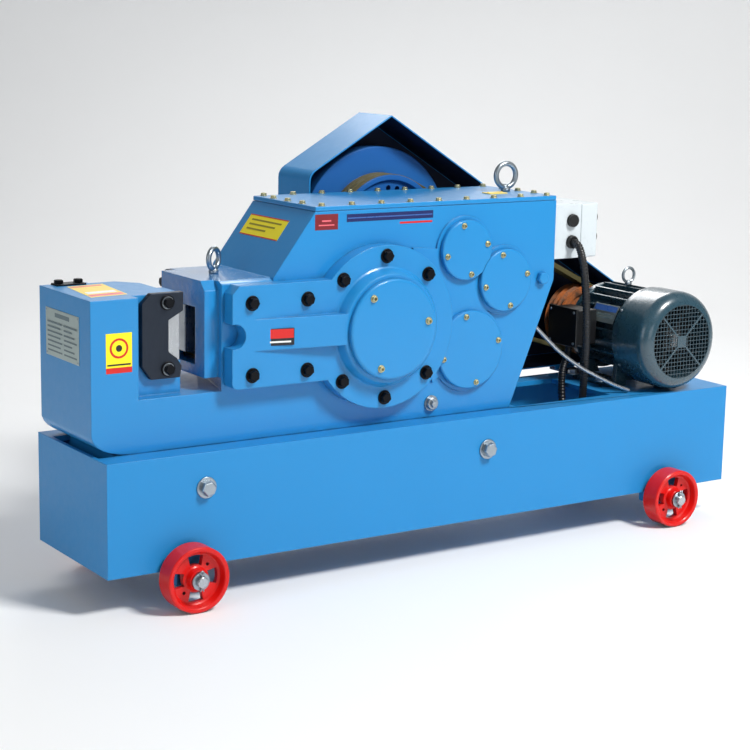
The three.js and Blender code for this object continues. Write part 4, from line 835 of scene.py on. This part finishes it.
for name, body, way in (("fixed_blade", "frame", 1), ("moving_blade", "ram_set", -1)):
    low, high = span(name)
    face = high.x if way > 0 else low.x
    seat = Vector((face - way * 7, (low.y + high.y) / 2, (low.z + high.z) / 2))
    screw = cap_screw(Form(), seat, (way, 0, 0), 6.4, 6.5, washer=False)
    make(screw, name + "_screw", BLACK_OXIDE, body)

guide_bolts = Form()
guide_low = span("guide_plate")[0]
hexagon(guide_bolts, (guide_low.x, 239, 262), (-1, 0, 0), 16, 8, washer=11.5, washer_height=2, turn=18)
hexagon(guide_bolts, (guide_low.x, 239, 180), (-1, 0, 0), 16, 8, washer=11.5, washer_height=2, turn=4)
make(guide_bolts, "guide_plate_bolts", BLACK_OXIDE, bevel=0.4)

clamp = Form().box(16, 72, 228, 255.8, 258, 271)
make(clamp, "clamp_block", BLACK_OXIDE, bevel=1.2, segments=2)
clamp_bolts = Form()
for x in (25, 62):
    hexagon(clamp_bolts, (x, 242, 271), UP, 15, 6.5, turn=20)
make(clamp_bolts, "clamp_block_bolts", BLACK_OXIDE, bevel=0.4)


# ---------------------------------------------------------------- flywheel, belts and guard

pulley_low, pulley_high = span("flywheel_pulley")
DRUM_RADIUS = 120
MOTOR_PULLEY_RADIUS = 75
GROOVES = [pulley_low.y + 10 + 15 * k for k in range(3)]
DRUM_REAR = pulley_low.y + 50
GROOVE_FLANK = math.tan(math.radians(19))


def groove_profile(radius):
    points = []
    for y in GROOVES:
        points += [(radius - 0.6, y - 7.4), (radius, y - 7), (radius - 12, y - 7 + 12 * GROOVE_FLANK),
                   (radius - 12, y + 7 - 12 * GROOVE_FLANK), (radius, y + 7)]
    return points


wheel_profile = [
    (22.4, pulley_low.y), (46, pulley_low.y), (48, pulley_low.y + 1), (50, pulley_low.y + 6), (54, pulley_low.y + 8),
    (102, pulley_low.y + 8), (107, pulley_low.y + 6), (109, pulley_low.y + 1), (110.5, pulley_low.y),
    (DRUM_RADIUS - 1, pulley_low.y), *groove_profile(DRUM_RADIUS),
    (DRUM_RADIUS, DRUM_REAR), (170, DRUM_REAR), (172, DRUM_REAR + 2), (172, pulley_high.y - 2),
    (170, pulley_high.y), (142, pulley_high.y), (138, DRUM_REAR + 16), (52, DRUM_REAR + 16), (48, pulley_high.y),
    (22.4, pulley_high.y)]
flywheel_holes = [Form().slab(arc(round_place(INPUT, 93, angle, 0)[::2], 5.5, 0, 345, 15), pulley_low.y - 1,
                              pulley_low.y + 25) for angle in (77, 90, 257, 270)]
flywheel = Form().turn((INPUT.x, 0, INPUT.z), -FRONT_WAY, wheel_profile, 96, closed=True)
# The flywheel's darker enamel is painted shade from the guard around it.
make(flywheel, "flywheel_rim", FLYWHEEL_SHADED_BLUE, BODY["flywheel_pulley"], ["flywheel_pulley"],
     trim=flywheel_holes)

hub_nut = hexagon(Form(), (INPUT.x, pulley_low.y + 1, INPUT.z), FRONT_WAY, 34, 3.4)
make(hub_nut, "flywheel_nut", PAINT["dark_steel"], BODY["flywheel_pulley"], bevel=0.5)

MOTOR_SPIN = middle("motor_pulley")
motor_pulley_low, motor_pulley_high = span("motor_pulley")
motor_pulley = Form().turn((MOTOR_SPIN.x, 0, MOTOR_SPIN.z), -FRONT_WAY, [
    (14.4, motor_pulley_low.y), (30, motor_pulley_low.y), (34, motor_pulley_low.y + 8), (56, motor_pulley_low.y + 8),
    (60, motor_pulley_low.y), (74, motor_pulley_low.y), *groove_profile(MOTOR_PULLEY_RADIUS),
    (74, motor_pulley_high.y), (14.4, motor_pulley_high.y)], 72, closed=True)
make(motor_pulley, "motor_pulley_rim", PAINT["rusty_iron"], BODY["motor_pulley"], ["motor_pulley"])


def belt_surface(name, y):
    """A V-belt that stands 1 mm proud of both rims."""
    dx, dz = MOTOR_SPIN.x - INPUT.x, MOTOR_SPIN.z - INPUT.z
    line = math.atan2(dz, dx)
    spread = math.acos((DRUM_RADIUS - MOTOR_PULLEY_RADIUS) / math.hypot(dx, dz))
    stops = []
    for centre, radius, start, end in ((INPUT, DRUM_RADIUS, line + spread, line - spread + 2 * math.pi),
                                       (MOTOR_SPIN, MOTOR_PULLEY_RADIUS, line - spread, line + spread)):
        for k in range(49):
            angle = start + (end - start) * k / 48
            stops.append((centre, radius, math.cos(angle), math.sin(angle)))
    section = [(0.4, -6.5), (1, -6), (1, 6), (0.4, 6.5), (-8, 3.6), (-8, -3.6)]
    rings = [[(c.x + (r + up) * ox, y + side, c.z + (r + up) * oz) for up, side in section]
             for c, r, ox, oz in stops]
    belt = Form().loops(rings, closed=True)
    make(belt, name + "_band", PAINT["belt_rubber"], "frame", [name], soft_angle=30)


for number, y in enumerate(GROOVES):
    belt_surface(f"v_belt_{number + 1}", y)

GUARD_HEART = Vector((960, 360, 200))
# Faces that look toward the guard's middle take the dark navy: painted shade inside the guard.
refine("belt_guard", 1.0, 2, SHEET_BLUE, (GUARD_PAINTED_SHADE, lambda place, normal: normal.dot(GUARD_HEART - place) > 0))


# ---------------------------------------------------------------- motor

fan_low, fan_high = span("motor_fan_cover")
FAN_RADIUS = (fan_high.x - fan_low.x) / 2
FAN_CORNER = 27
FAN_MOUTH = FAN_RADIUS - FAN_CORNER + 2


def corner(radius, front, count=9):
    return [(FAN_RADIUS - FAN_CORNER + radius * math.sin(a), front + FAN_CORNER - radius * math.cos(a))
            for a in (math.pi / 2 * k / count for k in range(count + 1))]


shell = [(FAN_MOUTH, fan_low.y + 0.1), *corner(FAN_CORNER, fan_low.y)[1:], (FAN_RADIUS, fan_high.y - 14),
         (FAN_RADIUS - 1.2, fan_high.y - 12.5), (FAN_RADIUS - 1.2, fan_high.y), (FAN_RADIUS - 3, fan_high.y),
         *corner(FAN_CORNER - 2.6, fan_low.y)[:0:-1], (FAN_MOUTH, fan_low.y + 2.7)]
make(Form().turn((MOTOR.x, 0, MOTOR.z), -FRONT_WAY, shell, 96, closed=True), "fan_cover_shell",
     PAINT["motor_enamel"], "frame", ["motor_fan_cover"], soft_angle=40)

grille = Form()
pitch = 8.2
reach = FAN_MOUTH + 1.5
for k in range(-9, 10):
    offset = k * pitch
    half = math.sqrt(max(reach ** 2 - offset ** 2, 0))
    if half > 4:
        grille.box(MOTOR.x + offset - 0.6, MOTOR.x + offset + 0.6, fan_low.y + 1.0, fan_low.y + 2.2,
                   MOTOR.z - half, MOTOR.z + half)
        grille.box(MOTOR.x - half, MOTOR.x + half, fan_low.y + 0.9, fan_low.y + 2.1,
                   MOTOR.z + offset - 0.6, MOTOR.z + offset + 0.6)
for angle in (45, 135):
    along = Vector((math.cos(math.radians(angle)), 0, math.sin(math.radians(angle))))
    across = Vector((-along.z, 0, along.x))
    centre = Vector((MOTOR.x, 0, MOTOR.z))
    rings = []
    for y in (fan_low.y + 0.2, fan_low.y + 2.4):
        rings.append([centre + along * a * reach + across * b * 1.6 + Vector((0, y, 0))
                      for a, b in ((-1, -1), (1, -1), (1, 1), (-1, 1))])
    grille.loops(rings)
grille.slab(rounded_box(MOTOR.x - 12, MOTOR.x + 12, MOTOR.z - 12, MOTOR.z + 12, 2), fan_low.y, fan_low.y + 2.5)
make(grille, "fan_grille", PAINT["motor_enamel"], soft_angle=30)

cover_screws = Form()
for angle in (35, 145, 215, 325):
    a = math.radians(angle)
    seat = (MOTOR.x + (FAN_RADIUS - 1.4) * math.cos(a), fan_high.y - 6, MOTOR.z + (FAN_RADIUS - 1.4) * math.sin(a))
    cap_screw(cover_screws, seat, (math.cos(a), 0, math.sin(a)), 3.2, 1.3, washer=False)
make(cover_screws, "fan_cover_screws", PAINT["zinc"])

refine("motor_housing", 0.7, 1, soft_angle=45)
shield_low, shield_high = span("motor_end_shield")
shield = Form().turn((MOTOR.x, 0, MOTOR.z), -FRONT_WAY, [
    (15, shield_low.y), (88, shield_low.y), (90, shield_low.y + 2), (90, shield_low.y + 14), (88, shield_low.y + 16),
    (70, shield_high.y - 12), (64, shield_high.y - 8), (47, shield_high.y - 4.5), (43, shield_high.y - 3.6),
    (42, shield_high.y - 1), (41, shield_high.y), (15, shield_high.y)], 72, closed=True)
make(shield, "end_shield", PAINT["motor_enamel"], "frame", ["motor_end_shield"])

foot_bolts = Form()
for x in (MOTOR.x - 96, MOTOR.x + 96):
    for y in (118, 206):
        seat = (x - 10 if x < MOTOR.x else x - 2, y, 12)
        hexagon(foot_bolts, seat, UP, 17, 9, washer=12, washer_height=2, turn=17)
make(foot_bolts, "motor_foot_bolts", PAINT["zinc"], bevel=0.4)

refine("motor_terminal_box", 2.6, 3, PAINT["black_plastic"])
terminal_low, terminal_high = span("motor_terminal_box")
terminal_screws = Form()
for y in (terminal_low.y + 8, terminal_high.y - 8):
    for z in (terminal_low.z + 8, terminal_high.z - 8):
        cap_screw(terminal_screws, (terminal_low.x, y, z), (-1, 0, 0), 3, 1.6, washer=False)
make(terminal_screws, "terminal_box_screws", PAINT["zinc"])

for name in ("motor_stator", "motor_fan"):
    refine(name, 0.8, 2)


# ---------------------------------------------------------------- lifting eyes


def eyebolt(name, ring_radius, wire, turn):
    low, high = span(name)
    centre = Vector(((low.x + high.x) / 2, (low.y + high.y) / 2, high.z - ring_radius - wire))
    a = math.radians(turn)
    along = Vector((math.cos(a), math.sin(a), 0))
    ring = [centre + (along * math.cos(t) + UP * math.sin(t)) * ring_radius
            for t in (2 * math.pi * k / 40 for k in range(40))]
    form = Form().sweep(ring, wire * 0.96, 16, closed=True)
    foot = Vector((centre.x, centre.y, low.z))
    form.turn(foot, UP, [(1, 0), (wire + 3, 0), (wire + 4, 1), (wire + 4, 4.5), (wire + 2.6, 6), (wire + 0.2, 8.5),
                         (wire * 0.9, ring_radius * 0.2 + wire + 4), (1, ring_radius * 0.2 + wire + 4)], 28)
    make(form, name + "_forging", PAINT[SLOT[name]], "frame", [name])


eyebolt("lid_eyebolt", 23, 5.5, -3)
eyebolt("ram_housing_eyebolt", 18, 5, 32)
eyebolt("motor_eyebolt", 15, 3.2, 0)


# ---------------------------------------------------------------- control box, conduit and stay

for name in ("control_box", "control_box_lid"):
    low, high = span(name)
    refine(name, 3.6, 4, only=outer_only(low, high, 3.9))
lid_box_low, lid_box_high = span("control_box_lid")

box_screws = Form()
for y in (lid_box_low.y + 9, lid_box_high.y - 9):
    for z in (lid_box_low.z + 9, lid_box_high.z - 9):
        cap_screw(box_screws, (lid_box_high.x - 0.6, y, z), (1, 0, 0), 2.6, 1.6, washer=False)
make(box_screws, "control_box_screws", PAINT["zinc"])

for name in ("start_button", "stop_button"):
    low, high = span(name)
    centre = Vector((0, (low.y + high.y) / 2, (low.z + high.z) / 2))
    cap = Form().turn(centre, (1, 0, 0), [
        (0.5, low.x), (8, low.x), (8, high.x - 7.6), (11.4, high.x - 7.6), (12, high.x - 6.8), (12, high.x - 1.6),
        (10.8, high.x - 0.5), (8.6, high.x - 0.1), (7, high.x - 1.2), (0.5, high.x - 1.2)], 40)
    cap.turn(centre, (1, 0, 0), [
        (0.5, high.x - 1.1), (6.4, high.x - 1.1), (6.0, high.x - 0.5), (0.5, high.x - 0.3)], 32, paint=1)
    make(cap, name + "_cap", [PAINT["black_plastic"], PAINT[SLOT[name]]], BODY[name], [name])

gland = Form()
for z in (middle("conduit_gland").z, middle("conduit_gland").z + 42):
    x = middle("conduit_gland").x
    front = span("conduit_gland")[0].y
    closed_end = z > middle("conduit_gland").z + 1
    bore = 0.6 if closed_end else 9.3
    gland.turn((x, 0, z), -FRONT_WAY, [
        (bore, front), (11.2, front), (12.4, front + 1.4), (12.6, front + 4.6), (10.8, front + 5.4),
        (10.8, front + 6), (13, front + 6.4), (13, front + 8.7), (bore, front + 8.7)], 12 if closed_end else 30,
        closed=not closed_end)
make(gland, "conduit_glands", PAINT["black_plastic"], "frame", ["conduit_gland"], soft_angle=25)

CONDUIT = [(1023, 59, 314), (1023, 44, 313), (1024, 32, 306), (1029, 27, 284), (1038, 29, 250), (1054, 40, 198),
           (1072, 57, 136), (1088, 75, 80), (1101, 93, 18), (1107, 104, -28), (1111, 124, -58), (1116, 152, -66),
           (1120, 178, -48), (1123, 188, -12), (1125, 191, 20), (1131, 191, 44), (1138, 191, 62), (1140, 191, 79)]
line = smooth_path(CONDUIT, 44)
even = [line[0]]
for place in line[1:]:
    if (place - even[-1]).length >= 1.0:
        even.append(place)
tube = Form().sweep(even, lambda index: 7.95 if index % 4 in (0, 1) else 6.9, 18)
conduit = make(tube, "conduit_hose", PAINT["black_plastic"], "frame", ["conduit"], soft_angle=50)

STAY = [(1178, 42, 5.5), (1144, 50, 19), (1114, 58, 34), (1073, 70, 57), (1029, 84, 90), (999, 96, 121),
        (976, 106, 146), (951.2, 114, 168)]
stay = Form().sweep(smooth_path(STAY, 10), 3.9, 16)
make(stay, "stay_bar", PAINT["bright_steel"], "frame", ["stay_rod"])


# ---------------------------------------------------------------- plates and printed marks


def plate(name, corners, lift, layers, plane="XZ"):
    """A thin plate with printed areas. Each layer is (finish, outline in the plate's own 0 to 1 square)."""
    origin, right, top = (Vector(p) for p in corners)
    across, along = right - origin, top - origin
    out = across.cross(along).normalized() * (1 if plane == "XZ" else -1)
    form = Form()
    finishes = []
    for level, (finish, square) in enumerate(layers):
        if finish not in finishes:
            finishes.append(finish)
        rise = 0.0 if level == 0 else lift + 0.06 * (level - 1)
        top_rise = lift + 0.06 * level
        rings = [[origin + across * u + along * v + out * height for u, v in square] for height in (rise, top_rise)]
        form.loops(rings, paint=finishes.index(finish))
    return make(form, name, finishes)


def strip(u0, v0, u1, v1):
    return [(u0, v0), (u1, v0), (u1, v1), (u0, v1)]


FULL = strip(0, 0, 1, 1)
LABEL_SHAPE = 48 / 68


def ring_outline(radius):
    """A circle on the head label, whose own square is taller than it is wide."""
    return [(u, 0.62 + (v - 0.62) * LABEL_SHAPE) for u, v in arc((0.5, 0.62), radius, 0, 345, 23)]



name_lines = [(PLATE_SILVER, strip(0, 0, 1, 1))]
name_lines.append((STICKER["grey"], strip(0.28, 0.84, 0.72, 0.93)))
for k in range(7):
    v = 0.1 + 0.1 * k
    name_lines.append((STICKER["grey"], strip(0.06, v, 0.5 - 0.05 * (k % 2), v + 0.035)))
    name_lines.append((STICKER["grey"], strip(0.56, v, 0.94 - 0.07 * (k % 3), v + 0.035)))
plate("rating_plate", [(-5, 228, 152), (-5, 92, 152), (-5, 228, 235)], 0.8, name_lines)
plate_pins = Form()
for y, z in ((96, 156), (96, 231), (224, 156), (224, 231)):
    cap_screw(plate_pins, (-5.7, y, z), (-1, 0, 0), 1.7, 1.0, washer=False)
make(plate_pins, "rating_plate_pins", PAINT["zinc"])

plate("head_label", [(23, 48, 143), (71, 48, 143), (23, 48, 211)], 0.25, [
    (STICKER["yellow"], FULL), (STICKER["red"], strip(0, 0, 1, 0.14)), (STICKER["red"], ring_outline(0.36)),
    (STICKER["yellow"], ring_outline(0.28)), (STICKER["black"], ring_outline(0.12)),
    (STICKER["black"], strip(0.05, 0.19, 0.95, 0.23))])
plate("arm_label", [(304, 17.6, 172), (364, 6.0, 172), (304, 17.6, 202)], 0.25, [
    (STICKER["black"], FULL), (STICKER["red"], strip(0.02, 0.42, 0.98, 0.96)),
    (STICKER["white"], strip(0.1, 0.16, 0.9, 0.26))])
plate("head_top_label", [(15, 87, 268), (86, 94, 268), (29, 217, 268)], 0.25, [
    (STICKER["pale"], FULL), (STICKER["pink"], strip(0.04, 0.05, 0.96, 0.2)),
    (STICKER["pink"], strip(0.04, 0.86, 0.9, 0.94)),
    (STICKER["white"], strip(0.1, 0.26, 0.9, 0.42))])
plate("maker_square", [(429.5, CAST_FRONT, 365), (477.5, CAST_FRONT, 365), (429.5, CAST_FRONT, 393)], 0.25, [
    (STICKER["maroon"], FULL), (STICKER["pink"], strip(0.16, 0.26, 0.84, 0.34)),
    (STICKER["pink"], strip(0.3, 0.52, 0.7, 0.62))])
plate("maker_stripe", [(496, CAST_FRONT, 377), (685, CAST_FRONT, 377), (496, CAST_FRONT, 391)], 0.25,
      [(STICKER["navy"], FULL), (STICKER["blue"], strip(0.01, 0.42, 0.99, 0.56))])
plate("maker_underline", [(611, CAST_FRONT, 369), (683, CAST_FRONT, 369), (611, CAST_FRONT, 372.5)], 0.25,
      [(STICKER["red"], FULL)])

slope_foot, slope_top = Vector((345, 0, 285)), Vector((430, 0, 398))
slope = slope_top - slope_foot


def on_slope(up, y):
    return slope_foot + slope * up + Vector((0, y, 0))


plate("slope_label", [on_slope(0.5, 246), on_slope(0.5, 110), on_slope(0.81, 246)], 0.25, [
    (STICKER["yellow"], FULL), (STICKER["red"], strip(0, 0, 1, 0.05)), (STICKER["red"], strip(0, 0.95, 1, 1)),
    (STICKER["olive"], strip(0.1, 0.72, 0.88, 0.8)), (STICKER["olive"], strip(0.1, 0.5, 0.78, 0.58)),
    (STICKER["olive"], strip(0.1, 0.28, 0.6, 0.36))])

a_left, a_right = math.radians(164), math.radians(140)
fin = MOTOR.x + 95.2 * math.cos(a_left), MOTOR.z + 95.2 * math.sin(a_left)
fin_top = MOTOR.x + 95.2 * math.cos(a_right), MOTOR.z + 95.2 * math.sin(a_right)
plate("motor_plate", [(fin[0], 178, fin[1]), (fin[0], 104, fin[1]), (fin_top[0], 178, fin_top[1])], 0.8, [
    (PLATE_SILVER, FULL), (STICKER["blue"], strip(0.04, 0.62, 0.96, 0.94)),
    (STICKER["grey"], strip(0.08, 0.4, 0.9, 0.46)),
    (STICKER["grey"], strip(0.08, 0.24, 0.8, 0.3))])
for number, z in enumerate((358, 320)):
    x = lid_box_high.x
    plate(f"button_mark_{number + 1}", [(x, 60, z - 5), (x, 66, z - 5), (x, 60, z + 5)], 0.2,
          [(STICKER["teal"], FULL)])


# ---------------------------------------------------------------- finishes of the carried-over pieces

for name, piece in frame["nodes"].items():
    finish = PAINT[SLOT[name]]
    piece.data.materials.clear()
    piece.data.materials.append(finish)


# ---------------------------------------------------------------- floor, light and camera

FLOOR_SIZE = 12.0
BACKDROP_START = 2.6
BEND_RADIUS = 1.5


def studio_material(name, colour, roughness):
    made, tree, shader = start_material(name, specular=0.3)
    tone = group_in(tree, TONE, Color=colour, Drift=0.01, Dust=0.0)
    tree.links.new(tone.outputs["Color"], shader.inputs["Base Color"])
    rough = math_node(tree, "ADD", tone.outputs["Roughness"], roughness, clamp=True)
    tree.links.new(rough, shader.inputs["Roughness"])
    return made


def build_floor():
    """A pale floor that curves up into a pale backdrop."""
    work = bmesh.new()
    bend = [math.pi / 2 * k / 16 for k in range(1, 17)]
    profile = [(-FLOOR_SIZE / 2, 0.0), (BACKDROP_START, 0.0)]
    profile += [(BACKDROP_START + BEND_RADIUS * math.sin(a), BEND_RADIUS - BEND_RADIUS * math.cos(a)) for a in bend]
    profile.append((BACKDROP_START + BEND_RADIUS, 7.0))
    rows = [[work.verts.new((x, y, z)) for y, z in profile] for x in (-FLOOR_SIZE / 2, FLOOR_SIZE / 2)]
    for k in range(len(profile) - 1):
        work.faces.new([rows[0][k], rows[1][k], rows[1][k + 1], rows[0][k + 1]])
    mesh = finish_mesh(work, "floor", 30)
    floor = bpy.data.objects.new("floor", mesh)
    bpy.context.scene.collection.objects.link(floor)
    mesh.materials.append(studio_material("pale floor", rgb(246, 247, 248), 0.6))
    way = -(camera_way.to_2d().normalized())
    floor.rotation_euler = (0, 0, math.atan2(-way.x, way.y))
    floor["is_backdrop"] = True


def area_light(name, place, target, size, power, colour=(1, 1, 1)):
    data = bpy.data.lights.new(name, "AREA")
    data.shape = "RECTANGLE"
    data.size, data.size_y = size
    data.energy = power
    data.color = colour
    light = bpy.data.objects.new(name, data)
    light.location = place
    light.rotation_euler = (Vector(target) - Vector(place)).to_track_quat("-Z", "Y").to_euler()
    bpy.context.scene.collection.objects.link(light)
    light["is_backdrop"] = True


camera_data = bpy.data.cameras.new("camera")
camera_data.sensor_width = 36
camera_data.lens = 87.58
camera = bpy.data.objects.new("camera", camera_data)
camera.location = at(-1261.75, -2690.93, 734.14)
camera.rotation_euler = [math.radians(angle) for angle in (78.96353, -1.07505, -33.46343)]
bpy.context.scene.collection.objects.link(camera)
bpy.context.scene.camera = camera
camera_way = Vector(camera.location) - Vector((0, 0, 0.4))

build_floor()
heart = Vector((0, 0, 0.4))
area_light("key", (1.0, -2.7, 3.5), heart, (0.9, 0.9), 190, (1.0, 0.99, 0.97))
area_light("front fill", (-0.6, -4.2, 0.9), heart, (2.0, 1.2), 12, (0.95, 0.98, 1.0))
area_light("left fill", (-3.4, -0.8, 1.4), heart, (1.6, 1.6), 14, (0.9, 0.96, 1.0))
area_light("rear rim", (1.6, 2.6, 2.6), heart, (2.0, 1.0), 40)

world = bpy.data.worlds.new("studio")
world.use_nodes = True
sky = world.node_tree
background = sky.nodes["Background"]
way = node(sky, "ShaderNodeSeparateXYZ", {0: node(sky, "ShaderNodeTexCoord").outputs["Generated"]})
ramp = steps(sky, way.outputs["Z"], -0.2, 0.7)
sky.links.new(blend_colour(sky, ramp, rgb(214, 220, 226), rgb(255, 255, 255)), background.inputs["Color"])
background.inputs["Strength"].default_value = 0.26
bpy.context.scene.world = world

bpy.context.scene.view_settings.view_transform = "Standard"
bpy.context.scene.view_settings.look = "None"

low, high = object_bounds()
